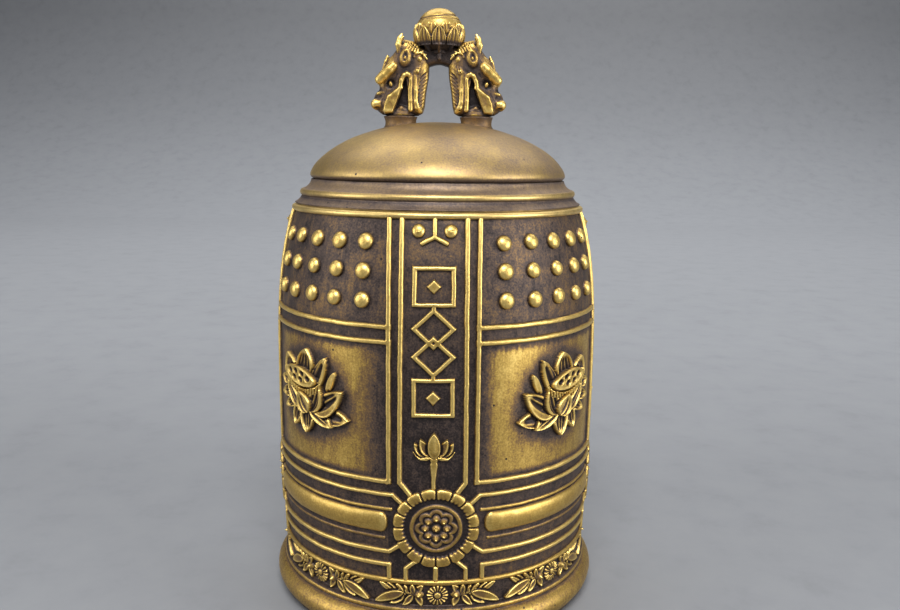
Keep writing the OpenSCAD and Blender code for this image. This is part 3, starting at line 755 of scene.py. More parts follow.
def seed_pod(h, x, up):
    """Lays a tilted disc with its seeds over a fringe of stamens."""
    tilt = math.radians(7)
    u = (x - 3.4) * math.cos(tilt) + (up - 3.2) * math.sin(tilt)
    v = (up - 3.2) * math.cos(tilt) - (x - 3.4) * math.sin(tilt)
    fringe = np.abs(np.hypot(u / 6.5, (v + 0.55) / 3.0) - 1.0) * 3.0
    comb = 0.85 + 0.6 * np.cos(u * 2 * math.pi / 0.95)
    h = np.where((fringe < 0.6) & (v < 0.2), comb, h)
    disc = 1 - np.hypot(u / 6.4, v / 2.25)
    face = 1.60 + 0.22 * hump(disc - 0.10, 0.10)
    for a, b in SEEDS:
        seed = np.hypot((u - a) / 1.25, v - b)
        face = face - 1.3 * hump(seed, 0.56) + 0.16 * hump(seed - 0.85, 0.16)
    return np.where(disc > -0.06, -SUNK + (face + SUNK) * smooth((disc + 0.06) / 0.14), h)


def lotus_flower(phi, z):
    """An open lotus seen a little from the side: a seed pod cupped by inner petals, in a ring of others."""
    x, up = ground_r(z) * phi, z - FLOWER_Z
    h = np.full(np.shape(x), -SUNK)
    for shape in OUTER_PETALS + INNER_PETALS:
        h = petal(h, x, up, *shape)
    return petal(seed_pod(h, x, up), x, up, *FRONT_PETAL)


def from_strap(phi, z):
    """Distance along the wall from the nearest strap's middle, for an angle from the middle of a quarter."""
    return ground_r(z) * (QUARTER / 2 - np.abs(phi))


def belt_band(phi, z):
    across = np.abs(z - BELT_Z) / BELT_HALF
    past = np.clip((13.1 - from_strap(phi, z)) / 1.8, 0, None)
    k = np.sqrt(across**2 + past**2)
    top = 1.15 * np.sqrt(np.clip(1 - k**2.2, 0, 1))
    return np.where(k < 1, np.maximum(top, -SUNK + 1.5 * (1 - k)), -SUNK)


def belt_lines(phi, z):
    """The lines over and under the belt, most of which bend in to the rosette or down to the frieze."""
    x = from_strap(phi, z)
    return outside_rosette(x, z, highest(
        line(x, z, [(40, LINES_Z[0]), (10.2, LINES_Z[0]), (7.8, LINES_Z[0] - 2.1)], 1.1),
        line(x, z, [(40, LINES_Z[1]), (10.9, LINES_Z[1]), (8.6, LINES_Z[1] + 1.7)]),
        line(x, z, [(40, FINE_Z[0]), (10.6, FINE_Z[0])], 0.95, 0.42),
        line(x, z, [(40, FINE_Z[1]), (12.4, FINE_Z[1])], 0.95, 0.26),
        line(x, z, [(40, LINES_Z[2]), (11.0, LINES_Z[2]), (11.0, RING_Z)]),
    ))


# ---- frieze ----
BUDS = [((6.8, 0.1), (7.8, 2.5)), ((7.9, 0.3), (9.8, 2.9)), ((9.2, 0.3), (12.0, 2.8)),
        ((10.4, 0.4), (14.0, 2.9))]
LEAVES = [((5.0, 0.2), (3.3, 2.8), 1.9), ((5.6, 0.2), (5.9, 2.9), 1.6), ((5.0, -0.3), (3.6, -3.0), 1.9),
          ((5.9, -0.1), (8.4, -3.1), 1.9), ((7.9, -0.3), (11.5, -2.8), 1.9)]


def spray(phi, z):
    """A daisy between two leafy branches, which fill the frieze between its two beads."""
    x, up = ground_r(z) * phi, z - (RING_Z + 9.3) / 2 + 0.1
    side = np.abs(x)
    h = line(side, up, [(3.6, 0.0), (6.0, 0.1), (9.0, -0.1)], 1.2, 0.5)
    for foot, tip in BUDS:
        h = petal(h, side, up, foot, tip, 1.45, 0.5, 0.25, 0.0, bow=0.15, veins=0, keen=0.6)
    for foot, tip, width in LEAVES:
        h = petal(h, side, up, foot, tip, width, 0.5, 0.25, 0.12, bow=0.2, veins=1)
    h = petal(h, side, up, (8.0, 0.4), (15.0, -2.7), 2.6, 0.6, 0.3, 0.0, bow=-0.25, veins=0, keen=0.65)
    h = np.maximum(h, dome(side, up, (4.4, 0.0), 1.2, 0.75))
    r, turn = np.hypot(x, up), np.arctan2(x, up)
    grooves = 0.24 * (np.cos(turn * 16) - 1) * smooth((r - 0.9) / 0.5)
    daisy = 0.95 + grooves - 0.5 * hump(r - 0.95, 0.22) - 0.1 * r
    daisy = -SUNK + (daisy + SUNK) * smooth((2.8 - r) / 0.45)
    return np.where(r < 2.8, daisy, np.where(r < 3.15, np.minimum(h, 0.0), h))


# ---- every relief piece on the wall ----
# node, where its middle lies, half its turn in degrees, from z, to z, grid step, height rubbed
# brightest, roughness of hand, dimness, keenness of the polish, height field
ON_STRAPS = [
    ("strap_frame", 0, 14, RING_Z + 0.5, SHOULDER_Z - 0.05, 0.2, 0.75, 0.7, 0.10, 1.0, strap_frame),
    ("fret_column", 0, 8.5, FRET_Z[0] - 1, FRET_Z[1] + 1, 0.17, 0.72, 0.7, 0.10, 1.0, fret_column),
    ("lotus_sprig", 0, 8.5, ROSETTE_Z + 6, SPRIG_Z + 1.5, 0.12, 1.0, 0.7, 0.06, 1.0, lotus_sprig),
    ("strike_rosette", LOW_TURN, 15, ROSETTE_Z - 10.8, ROSETTE_Z + 10.8, 0.14, 1.3, 0.7, 0.19, 1.0,
     strike_rosette),
]
IN_QUARTERS = [
    ("panel_frame", 0, 33, PANEL_Z[0] - 1.4, SHOULDER_Z - 0.05, 0.2, 0.75, 0.7, 0.10, 1.0, panel_frame),
    ("boss_field", 0, 25, BOSS_Z - 2.8, BOSS_Z + 2 * BOSS_DZ + 2.8, 0.14, 1.6, 0.5, 0.10, 1.2, boss_field),
    ("lotus_relief", 0, 21.5, FLOWER_Z - 11.6, FLOWER_Z + 11.2, 0.13, 1.7, 0.5, 0.19, 1.9, lotus_flower),
    ("belt_band", LOW_TURN, 31, BELT_Z - 3, BELT_Z + 3, 0.22, 0.9, 0.4, 0.03, 1.0, belt_band),
    ("belt_lines", LOW_TURN, 34.5, RING_Z + 0.5, LINES_Z[0] + 1.2, 0.2, 0.75, 0.5, 0.10, 1.0, belt_lines),
]


def mirror_of(height):
    return lambda phi, z: height(-phi, z)


def relief_set(table, suffix, turn, seed, mirrored=False):
    """The pieces of one strap or quarter; only a flower tells its mirror image from itself."""
    for kind, offset, half_turn, z0, z1, step, top, rough, dim, keen, height in table:
        if mirrored and height is lotus_flower:
            height = mirror_of(height)
        part = (turn + offset, math.radians(half_turn), z0, z1, height)
        relief(f"{kind}_{suffix}", [part], step, top, rough, dim, keen, seed)


def wall_relief():
    for i, side in enumerate(("front", "right", "back", "left")):
        relief_set(ON_STRAPS, side, i * QUARTER, 100 + 7 * i)
    for i, quarter in enumerate("abcd"):
        relief_set(IN_QUARTERS, quarter, (i + 0.5) * QUARTER, 200 + 9 * i, mirrored=i % 2 == 1)
    frieze = (math.radians(21.8), 9.35, RING_Z - LINE_W / 2 + 0.1, spray)
    for node, start in (("strap_sprays", 0), ("panel_sprays", 0.5)):
        parts = [((i + start) * QUARTER + SPRAY_TURN, *frieze) for i in range(4)]
        relief(node, parts, 0.13, 0.85, 0.5, 0.22, 1.5, 300)
    studs = [(i * QUARTER, math.radians(8), STUD_Z - 2, STUD_Z + 2, stud_pair) for i in range(4)]
    relief("strap_studs", studs, 0.15, 1.0, 0.5, 0.08, seed=330)


def frieze_ring():
    r0 = float(ground_r(RING_Z))
    outline = [(r0 - 0.5, RING_Z - 0.75)] + arc(r0 + 0.15, RING_Z, 0.65, -75, 75, 8)
    outline += [(r0 - 0.5, RING_Z + 0.75)]

    def push(phi, r, z):
        return 0.05 * uneven(340, 9, phi, r, z) * (r > r0)

    def rub(phi, r, z):
        return 0.2 + 0.5 * smooth((r - r0 - 0.1) / 0.4)

    outline = resampled(outline + outline[:1], 0.25)[:-1]
    turned("frieze_ring", "cast", outline, 400, rub, "rubbed_brass", push=push)


# ---- the bell wall ----
def wrapped(phi, centre):
    """The angle from the nearest of four places a quarter turn apart."""
    return (phi - centre + QUARTER / 2) % QUARTER - QUARTER / 2


def flower_way(phi):
    """-1 in the quarters whose flower is the mirror of the front right one's, 1 in the others."""
    return np.where(np.floor(phi / QUARTER) % 2 == 1, -1, 1)


def all_relief(phi, z):
    """Height of everything on the wall, for the patina that gathers beside it."""
    strap, panel = wrapped(phi, 0), wrapped(phi, QUARTER / 2)
    low_strap, low_panel = wrapped(phi - LOW_TURN, 0), wrapped(phi - LOW_TURN, QUARTER / 2)
    sprays = [spray(wrapped(phi - SPRAY_TURN, centre), z) for centre in (0, QUARTER / 2)]
    return highest(
        *(height(strap, z) for height in (strap_frame, fret_column, lotus_sprig, stud_pair)),
        *(height(panel, z) for height in (panel_frame, boss_field)),
        *(height(low_panel, z) for height in (belt_band, belt_lines)),
        strike_rosette(low_strap, z),
        lotus_flower(panel * flower_way(phi), z),
        np.where(np.abs(z - FRIEZE_MID) < FRIEZE_HALF, highest(*sprays), -SUNK),
    )


def shell_outline():
    """The wall's section: under the lip, up the outside and down the inside."""
    foot = [(38.1, 0.35), (38.5, 0.0), (LIP_R - 2.2, 0.0)]
    lip = arc(LIP_R - 3.5, 4.2, 3.5, -50, 72, 16)
    r = float(ground_r(BEAD_Z))
    bead = [(r + 0.95, 7.72)] + arc(r + 0.8, 8.45, 0.72, -70, 80, 6) + [(float(ground_r(9.4)), 9.4)]
    outer = [(float(ground_r(z)), z) for z in np.linspace(9.5, SHOULDER_Z, 160)]
    inner = [(float(ground_r(z)) - WALL, z) for z in np.linspace(SHOULDER_Z, 15, 22)] + [(37.3, 3.0)]
    lower = resampled(foot, 1.5).tolist() + [tuple(p) for p in resampled(lip + bead, 0.5)]
    return lower + outer + inner


def ground_rub(phi, z, tint, stain):
    """Patina of the wall's ground: dark straps, mauve boss fields and brushed gold panels, darker beside
    the relief and darkest round the flowers."""
    beside = -frame_side(wrapped(phi, QUARTER / 2), z)
    field = 0.20 + 0.10 * tint + 0.07 * smooth((86 - z) / 6) + 0.08 * stain
    ground = np.where(z > PANEL_Z[2], field, 0.21 + 0.06 * stain)
    # The dark margin beside the frame uprights is wider (9.5 mm against 4.6 mm) in quarters b and d.
    margin_width = np.where(np.sin(phi) * np.cos(phi) < 0, 9.5, 4.6)
    edges = smooth((beside - 0.9 + 0.4 * stain) / margin_width)
    edges = edges * smooth((z - PANEL_Z[0] - 0.7) / 1.4) * smooth((PANEL_Z[1] - 0.8 - z + 0.4 * stain) / 2.2)
    panel = 0.13 + (0.50 + 0.07 * smooth((z - 50) / 14)) * edges + 0.05 * tint + 0.05 * stain
    ground = np.where((z > PANEL_Z[0]) & (z < PANEL_Z[1]), panel, ground)
    ground = np.where(beside < 0, 0.05 + 0.18 * smooth((z - 55) / 34) + 0.05 * stain, ground)
    ground = np.where(z < RING_Z, 0.13, ground)
    raised_here = (all_relief(phi, z) > 0).astype(float)
    cover = blur(raised_here, 2, wrap=True)
    halo = blur(raised_here * (np.abs(z - FLOWER_Z) < 14) * (beside > 3), 7, wrap=True)
    return ground * (1 - 0.55 * smooth(cover * 1.4)) * (1 - 0.84 * smooth(halo * 2.6))


def shell_rub(phi, r, z):
    """Patina of the whole wall, with a rubbed bead and lip, painted shade on the lip's underside, and a plain
    inside.
    """
    tint, stain = uneven(11, 14, phi, r, z), uneven(12, 5, phi, 4 * r, z)
    outside = r > ground_r(np.clip(z, 9, None)) - 1.0
    wall = np.where(outside, ground_rub(phi, z, tint, stain), 0.33 + 0.1 * tint)
    bead = smooth((r - ground_r(BEAD_Z) - 0.9) / 0.4)
    # The lip darkens towards its underside (below z 2.6) as painted shade; it is also darker where it turns
    # in under the bead.
    lip = 0.58 - 0.46 * smooth((z - 7.0) / 0.7) - 0.30 * smooth((2.6 - z) / 2.2) + 0.06 * tint
    return np.where((z < 9) & (r > 40.0), np.where(z > 7.6, 0.1 + 0.55 * bead, lip), wall)


def bell_shell():
    def push(phi, r, z):
        return np.where(z > 0.5, 0.05 * uneven(3, 16, phi, r, z), 0)

    turned("bell_shell", "cast", shell_outline(), 460, shell_rub, "aged_brass", push=push)


def shoulder():
    """The stepped moulding between the wall and the crown."""
    top_r = float(ground_r(SHOULDER_Z))
    outline = [(top_r - WALL, SHOULDER_Z), (top_r - 0.6, SHOULDER_Z), (top_r + 0.3, SHOULDER_Z - 0.55)]
    outline += arc(top_r + 0.25, SHOULDER_Z + 0.1, 0.72, -80, 90, 8) + [(top_r - 0.3, SHOULDER_Z + 1.2)]
    outline += arc(38.7, SHOULDER_Z + 4.6, 3.6, 245, 200, 8)
    outline += [(34.6, SHOULDER_Z + 3.2)] + arc(34.9, 105.0, 0.95, -60, 95, 8)
    outline += arc(35.9, 108.8, 3.0, 240, 190, 8) + [(32.4, CROWN_Z), (CROWN_R - WALL - 0.2, CROWN_Z)]
    outline = resampled(outline + outline[:1], 0.45)[:-1]

    def rub(phi, r, z):
        tint = uneven(21, 8, phi, r, z)
        # The shoulder line and the bead are rubbed gold, brightened beyond that as a painted highlight.
        edge = 1.25 * smooth((r - top_r + 0.5) / 0.45) * (z < SHOULDER_Z + 1.2)
        bead = 1.1 * hump(z - 105.2, 0.95) * smooth((r - 34.6) / 0.6)
        # The upper cove is lighter, partly from a paler patina and partly as a painted sheen. Under the
        # dome's edge it is darker, partly from patina and partly as a painted shadow.
        upper = 0.12 * smooth((z - 105.3) / 0.5) - 0.16 * hump(z - CROWN_Z, 0.5)
        slope = 0.27 + 0.06 * tint + upper - 0.24 * hump(z - 104.1, 0.4)
        return np.maximum(slope, (0.74 + 0.08 * tint) * np.maximum(edge, bead))

    def push(phi, r, z):
        return 0.05 * uneven(5, 9, phi, r, z)

    turned("shoulder_moulding", "cast", outline, 300, rub, "crown_brass", push=push)


def crown():
    """The dome, hollow, with a flat pad under the posts."""
    rise = APEX_Z - EDGE_Z
    inner_r = CROWN_R - WALL
    pad_z = 117.6

    def dome_z(r, rim, height):
        return EDGE_Z + height * (1 - (r / rim) ** 2) ** 0.62

    def section(rim, height, angles):
        return [(rim * math.cos(t), dome_z(rim * math.cos(t), rim, height)) for t in np.radians(angles)]

    outline = [(0, pad_z), (12.0, pad_z), (13.4, pad_z + 0.8)]
    outline += section(inner_r, rise - WALL, np.linspace(62, 1.0, 24)) + [(inner_r, CROWN_Z + 0.02)]
    outline += [(CROWN_R - 0.9, CROWN_Z + 0.02), (CROWN_R - 0.25, EDGE_Z - 0.45)]
    outline += section(CROWN_R, rise, np.linspace(1.0, 89.5, 60)) + [(0, APEX_Z)]

    def rub(phi, r, z):
        # A painted highlight along the dome's lower edge, and on the undercut beneath it painted shadow
        # together with some darker patina.
        rim = 0.07 * hump(z - EDGE_Z - 0.6, 0.6) - 0.28 * smooth((EDGE_Z - 0.05 - z) / 0.3)
        top = 0.50 + 0.06 * uneven(31, 12, phi, r, z) + 0.05 * smooth((r - 14) / 12)
        # The right (+x) side of the dome is painted darker as painted shade.
        top = top - 0.06 * np.sin(phi) * smooth(r / 25) + rim
        return np.where(z < dome_z(np.clip(r, 0, CROWN_R), CROWN_R + 0.01, rise) - 1.2, 0.3, top)

    def push(phi, r, z):
        return 0.06 * uneven(8, 11, phi, r, z) * smooth(r / 6)

    turned("crown_dome", "cast", resampled(outline, 0.8), 260, rub, "crown_brass", push=push)


# ---- handle ----
def post(side, name):
    bottom = low("right_post")[2]
    outline = [(0, bottom), (2.4, bottom)] + arc(2.5, bottom + 0.8, 0.85, -70, 60, 5)
    outline += [(2.55, bottom + 1.3), (2.55, SEAT_Z), (4.2, SEAT_Z), (4.4, SEAT_Z + 0.5)]
    outline += arc(7.1, SEAT_Z + 1.6, 3.1, 205, 155, 8)
    outline += [(4.35, SEAT_Z + 3.1), (2.0, SEAT_Z + 3.5), (0, SEAT_Z + 3.5)]

    def rub(phi, r, z):
        return 0.20 + 0.20 * hump(z - SEAT_Z - 1.7, 1.3) + 0.08 * wobble(6, 5, phi * 4, z)

    def push(phi, r, z):
        return 0.10 * uneven(40 + side, 5, phi, r, z) * smooth(r / 3)

    turned(name, "cast", resampled(outline, 0.35), 96, rub, "handle_brass", push=push, at_x=side * POST_X)


HEAD_OUTLINE = [
    (5.2, 124.7), (4.1, 125.3), (3.7, 126.7), (3.3, 130.3), (2.7, 133.9), (2.5, 137.1), (3.2, 139.6),
    (4.6, 141.7), (6.6, 143.1), (8.8, 143.5), (10.3, 142.6), (10.9, 140.9), (11.9, 139.6), (13.0, 138.6),
    (14.0, 136.7), (14.9, 135.0), (15.3, 132.6), (15.2, 130.9), (15.6, 129.8), (16.1, 128.8), (16.3, 127.4),
    (15.9, 126.3), (15.3, 125.5), (14.4, 124.8),
]
CHEEK = [
    (9.3, 133.0), (10.0, 132.2), (11.4, 130.9), (13.0, 129.6), (13.9, 127.9), (14.4, 125.6), (13.8, 124.8),
    (11.6, 124.9), (10.7, 127.0), (9.8, 129.4), (9.2, 131.2),
]
MOUTH = [
    (8.3, 133.7), (9.2, 133.1), (9.3, 131.2), (9.9, 129.3), (11.1, 126.9), (12.4, 124.0), (7.7, 124.0),
    (7.75, 130.5),
]


def mouth(s):
    """The open mouth on both sides of a middle wall, with the tongue and lumps in it."""
    s.slab(MOUTH, 9.0, cutting=True, rounding=0.01, soft=0.2)
    s.slab(HEAD_OUTLINE, 1.7, rounding=1.0)
    s.rod([(8.6, 1.6, 125.8), (9.6, 1.7, 126.3), (10.6, 1.6, 125.6)], [0.9, 0.8, 0.8], 0.3)
    s.rod([(8.0, 0, 124.6), (11.0, 0, 124.6)], [2.7, 2.7], 0.4)


def lips(s):
    """The broad polished cheek, a loop over the corner of the mouth, and the jaw."""
    s.slab(CHEEK, 4.1, rounding=0.55, soft=0.2)
    s.rod([(9.5, 3.7, 131.4), (12.6, 3.75, 129.2), (13.4, 3.6, 127.4)], [0.45, 0.35, 0.3], 0.5)
    s.rod([(7.25, 3.5, 131.2), (6.95, 3.55, 133.4), (7.4, 3.6, 134.5), (8.1, 3.65, 134.8), (8.9, 3.65, 134.4),
           (9.5, 3.65, 133.2), (9.75, 3.7, 131.9)], [0.55, 0.6, 0.62, 0.62, 0.62, 0.6, 0.55], 0.2)
    s.rod([(7.25, 3.5, 131.2), (7.2, 3.45, 128.2), (7.1, 3.3, 126.0)], [0.55, 0.55, 0.6], 0.2)
    s.rod([(6.1, 3.3, 134.4), (5.95, 3.35, 130.6), (5.8, 3.35, 127.8), (5.3, 3.2, 126.5), (4.8, 2.6, 125.7)],
          [0.5, 0.62, 0.68, 0.72, 0.7], 0.35)
    s.groove([(6.55, 4.0, 134.6), (6.5, 3.95, 130), (6.4, 3.95, 126.6)], [0.22, 0.24, 0.24], 0.12)


def snout(s):
    """Ridge, nose bar, nostril and the cuts behind them."""
    s.egg((14.9, 0, 128.2), (1.9, 2.9, 2.6), soft=0.6)
    s.rod([(14.4, 2.7, 127.5), (16.0, 2.5, 127.3)], [1.05, 1.35], 0.2)
    s.rod([(16.0, 2.5, 127.3), (16.3, 0, 127.3)], [1.3, 1.2], 0.2)
    s.rod([(14.1, 2.9, 130.2), (15.5, 2.6, 129.9)], [0.45, 0.38], 0.2)
    s.egg((15.8, 3.5, 126.2), (0.8, 0.9, 0.5), soft=0.12, cutting=True)
    s.groove([(13.9, 4.0, 130.4), (14.4, 3.9, 128.2), (14.7, 3.6, 125.6)], [0.42, 0.40, 0.36], 0.15)
    s.groove([(14.8, 3.2, 129.2), (17.2, 2.8, 129.0)], [0.34, 0.26], 0.15)


def eye(s):
    """The eye in its socket under the brow."""
    s.egg((12.3, 4.0, 132.4), (1.6, 1.1, 1.2), soft=0.3, cutting=True, tilt=-42)
    s.egg((12.2, 3.3, 132.3), (0.5, 0.6, 0.85), soft=0.08, tilt=-20)
    s.groove([(10.4, 4.0, 134.9), (11.2, 4.0, 133.0)], [0.5, 0.45], 0.25)


def ear(s):
    """An almond with a hollow and a bead in it, the leaf-shaped blade over it, and a small horn before it."""
    s.egg((8.45, 3.0, 138.8), (1.75, 1.5, 2.6), soft=0.15, tilt=12)
    s.egg((8.55, 4.75, 139.2), (0.95, 1.0, 1.7), soft=0.1, cutting=True, tilt=12)
    s.egg((8.5, 3.9, 138.7), (0.42, 0.45, 0.6), soft=0.05)
    blade = [(10.1, 2.9, 140.2), (10.3, 2.9, 142.0), (9.95, 2.8, 143.6), (9.4, 2.7, 144.65)]
    s.rod(blade, [0.6, 0.8, 0.66, 0.3], 0.2, flat=0.8)
    s.groove([(9.8, 3.6, 141.0), (9.75, 3.5, 142.6), (9.4, 3.4, 143.9)], [0.15, 0.17, 0.1], 0.1)
    s.rod([(13.1, 1.4, 139.4), (13.6, 1.6, 138.0), (14.2, 1.7, 135.8)], [0.28, 0.42, 0.4], 0.2)


def fur(s):
    """Hair on the crown, a curl behind the ear, feathers and stripes down the neck."""
    for k in range(6):
        x = 5.0 + 0.72 * k
        s.groove([(x + 0.9, 2.9, 141.1 + 0.05 * k), (x, 2.6, 143.1 + 0.1 * k)], [0.2, 0.24], 0.12)
    for k in range(5):
        x = 5.6 + 0.62 * k
        s.rod([(x, 3.7, 139.9 + 0.28 * k), (x - 0.5, 3.4, 141.0 + 0.25 * k)], [0.26, 0.14], 0.1)
    for k in range(5):
        a, b = math.radians(20 + 32 * k), math.radians(52 + 32 * k)
        s.rod([(4.9 + 1.5 * math.cos(a), 3.5, 138.5 + 1.5 * math.sin(a)),
               (4.9 + 1.9 * math.cos(b), 3.2, 138.5 + 2.1 * math.sin(b))], [0.30, 0.22], 0.12)
    s.egg((4.9, 3.2, 138.5), (0.7, 0.6, 0.8), soft=0.12)
    s.rod([(6.9, 3.1, 134.7), (5.4, 3.2, 135.6), (3.9, 2.5, 136.9)], [0.55, 0.85, 0.7], 0.2)
    for k in range(5):
        start = (7.2 - 0.72 * k, 4.1 - 0.12 * k, 133.9 + 0.32 * k)
        s.groove([start, (6.2 - 0.7 * k, 4.0 - 0.16 * k, 136.6 + 0.3 * k)], [0.17, 0.2], 0.1)
    for k in range(9):
        x, z = 3.75 - 0.12 * k, 126.7 + 0.96 * k
        stripe = [(x + 1.75, 3.4, z - 0.75), (x + 1.0, 3.25, z), (x - 0.1, 2.45, z + 0.85)]
        s.groove(stripe, [0.28, 0.42, 0.38], 0.1)


def head_polish(points):
    """More polish on the cheek, the lips, the neck and the fur, where hands reach."""
    x, z = points[:, 0], points[:, 2]
    front = smooth((np.abs(points[:, 1]) - 3.2) / 0.5)
    cheek = to_path(x, z, [(10.2, 131.0), (11.6, 129.6), (12.6, 127.6), (13.0, 125.2)])
    edge = to_path(x, z, [(7.2, 126), (7.2, 131.2), (6.95, 133.4), (8.1, 134.8), (9.5, 133.2), (10.2, 131.0)])
    neck = to_path(x, z, [(6.0, 134.0), (5.8, 127.6), (4.6, 125.8)])
    fur_share = 0.12 * smooth((6.4 - x) / 0.6)
    return front * (0.32 * hump(cheek, 1.25) + 0.16 * hump(edge, 0.8) + 0.12 * hump(neck, 0.8)) + fur_share


def dragon_head(side, name):
    s = Solid((2.0, -6.0, low("right_dragon_head")[2] - 0.2), (19.0, 6.0, 146.0), 0.13)
    s.slab(HEAD_OUTLINE, 3.5, rounding=2.4)
    for carve in (mouth, lips, snout, eye, ear, fur):
        carve(s)
    s.roughen(0.03, 2.2, 60 + side)
    s.piece(name, "carved", side=side, keen=1.6, base=0.24, polish=head_polish)


def brow_horn(side, name):
    s = Solid((9.9, -6.0, 131.4), (16.6, 6.0, 138.4), 0.12)
    path = [(11.5, 4.3, 136.7), (12.5, 4.35, 135.7), (13.9, 4.35, 134.3), (14.95, 4.3, 133.25)]
    s.rod(path, [1.12, 1.28, 1.28, 1.2], 0.2)
    s.rod([(11.6, 4.1, 136.4), (11.8, 2.6, 136.2)], [0.8, 0.8], 0.4)
    s.rod([(14.6, 4.1, 133.4), (14.2, 2.6, 133.6)], [0.8, 0.8], 0.4)
    s.piece(name, "cast", side=side, keen=0.5, base=0.66)


def arch():
    s = Solid((-6.2, -3.6, 136.2), (6.2, 3.6, 143.0), 0.13)
    outline = [(-5.6, 136.6), (-2.9, 136.7), (-2.0, 137.0), (-1.0, 137.35), (0, 137.45), (1.0, 137.35),
               (2.0, 137.0), (2.9, 136.7), (5.6, 136.6), (5.8, 140.2), (4.6, 141.6), (-4.6, 141.6),
               (-5.8, 140.2)]
    s.slab(outline, 2.7, rounding=1.4)
    s.rod([(0.1, 2.5, 141.6), (0.1, 2.75, 138.7)], [0.5, 0.42], 0.2)
    for x in (1.5, 3.0):
        for way in (-1, 1):
            s.groove([(way * x, 3.0, 141.2), (way * (x + 0.5), 3.0, 138.4)], [0.22, 0.2], 0.15)
    s.roughen(0.05, 2.0, 75)
    s.piece("handle_arch", "cast", base=0.03, keen=0.6)


def cup_petals(phi, z):
    """Two staggered rows of fan-veined petals round the waist of the ball, over a dark foot with two ribs."""
    sunk, count, waist_r = 0.75, 10, 6.1
    h = np.full(np.shape(phi), -sunk)
    rib = np.abs(wrapped(2 * phi, 0)) * 3.2
    for offset, foot, tip, lift in ((0.5, 143.9, 148.0, 0.28), (0.0, 142.4, 146.4, 0.50)):
        share = (phi * count / (2 * math.pi) + offset + 0.5) % 1 - 0.5
        across = share * 2 * math.pi * waist_r / count
        s = np.clip((z - foot) / (tip - foot), 0, 1)
        half = 1.92 * (1 - s**2.4) ** 0.85 + 1e-6
        edge = np.where((z < tip) & (z > foot - 0.6), np.minimum(half - np.abs(across), z - foot + 0.5), -1)
        hatch = 0.16 * np.cos(across / half * math.pi * 3.5) - 0.16
        blade = lift + 0.16 * hump(edge - 0.2, 0.2) + hatch * smooth((edge - 0.3) / 0.3)
        blade = -sunk + (blade + sunk) * smooth((edge + 0.12) / 0.35)
        moat = 0.3 * smooth(1 + edge / 0.6) * (h > 0)
        h = np.where(edge > -0.12, np.maximum(blade, h - 0.2), h - moat)
    return np.where((rib < 1.2) & (z < 143.0), np.maximum(h, 0.1 - 0.8 * smooth((rib - 0.3) / 0.6)), h)


def on_ball(t, r):
    return (r * math.cos(t), JEWEL_Z + r * math.sin(t))


def lotus_cup():
    cup_z = low("lotus_cup")[2]
    outline = [(0.6, cup_z)] + [on_ball(t, JEWEL_R) for t in np.radians(np.linspace(-78, 17, 110))]
    outline += [on_ball(t, JEWEL_R - 1.6) for t in np.radians(np.linspace(14, -70, 20))]

    def push(phi, r, z):
        on_outside = np.hypot(r, z - JEWEL_Z) > JEWEL_R - 0.3
        return np.where(on_outside & (z > cup_z + 0.2), cup_petals(phi, z), 0)

    def rub(phi, r, z):
        height = np.hypot(r, z - JEWEL_Z) - JEWEL_R
        broad = blur(height, 3, wrap=True)
        above = smooth((z - 142.3) / 1.0)
        rib = 0.22 * hump(6 * np.sin(phi), 0.6)
        return above * (0.40 + 0.30 * height + 1.5 * (height - broad)) + (1 - above) * (0.08 + rib)

    turned("lotus_cup", "carved", outline, 460, rub, "handle_brass", push=push)


def jewel():
    turns = np.radians(np.linspace(-60, 90, 120))[:-1]
    radii = JEWEL_R - 1.0 * smooth((-0.1 - turns) / 0.08)  # the part inside the cup is slimmer
    outline = [(0, JEWEL_Z - 4)] + [on_ball(t, r) for r, t in zip(radii, turns)] + [(0, JEWEL_TOP)]

    def cuts(phi, z):
        upper = hump(z - 149.0 - 0.5 * np.sin(phi), 0.16)
        return upper + 0.6 * hump(z - 148.1 - 0.3 * np.sin(phi + 1), 0.13)

    def push(phi, r, z):
        return -0.28 * cuts(phi, z) + 0.05 * uneven(81, 4, phi, r, z) * smooth(r / 2)

    def rub(phi, r, z):
        return 0.74 - 0.55 * cuts(phi, z) - 0.25 * smooth((147.5 - z) / 1.0)

    turned("jewel", "cast", outline, 200, rub, "handle_brass", push=push)


# ---- clapper ----
WIRE = 1.1  # radius of the link's and the eye's wire
ROUGH_WIRE = WIRE * 0.985  # leaves room for what roughening adds


def staple():
    bar_z, top = low("clapper_staple")[2] + 1.3, high("clapper_staple")[2]
    s = Solid((-2.2, -7.2, bar_z - 2.2), (2.2, 7.2, top + 0.3), 0.14)
    corner = [(0, 5 - 2.2 * (1 - math.sin(t)), bar_z + 2.2 * (1 - math.cos(t)))
              for t in np.radians(np.linspace(0, 90, 7))]
    path = [(0, 0, bar_z)] + corner + [(0, 5, top)]
    s.rod(path, [1.3] * len(path), 0.05)
    s.roughen(0.03, 2.0, 91)
    s.piece("clapper_staple", "bar", "plain_brass", base=0.42)


def link():
    bottom, top = low("clapper_link")[2], high("clapper_link")[2]
    reach = (high("clapper_link")[0] - low("clapper_link")[0]) / 2
    bend = reach - WIRE
    s = Solid((-reach - 0.6, -WIRE - 0.6, bottom - 0.6), (reach + 0.6, WIRE + 0.6, top + 0.6), 0.11)
    loop = []
    for t in np.linspace(0, 2 * math.pi, 33)[:-1]:
        centre_z = top - reach if math.sin(t) >= 0 else bottom + reach
        loop.append((bend * math.cos(t), 0, centre_z + bend * math.sin(t)))
    s.rod(loop + loop[:1], [ROUGH_WIRE] * 33, 0.05)
    s.roughen(0.015, 2.0, 92)
    s.piece("clapper_link", "forged", "plain_brass", "clapper_link", base=0.42)


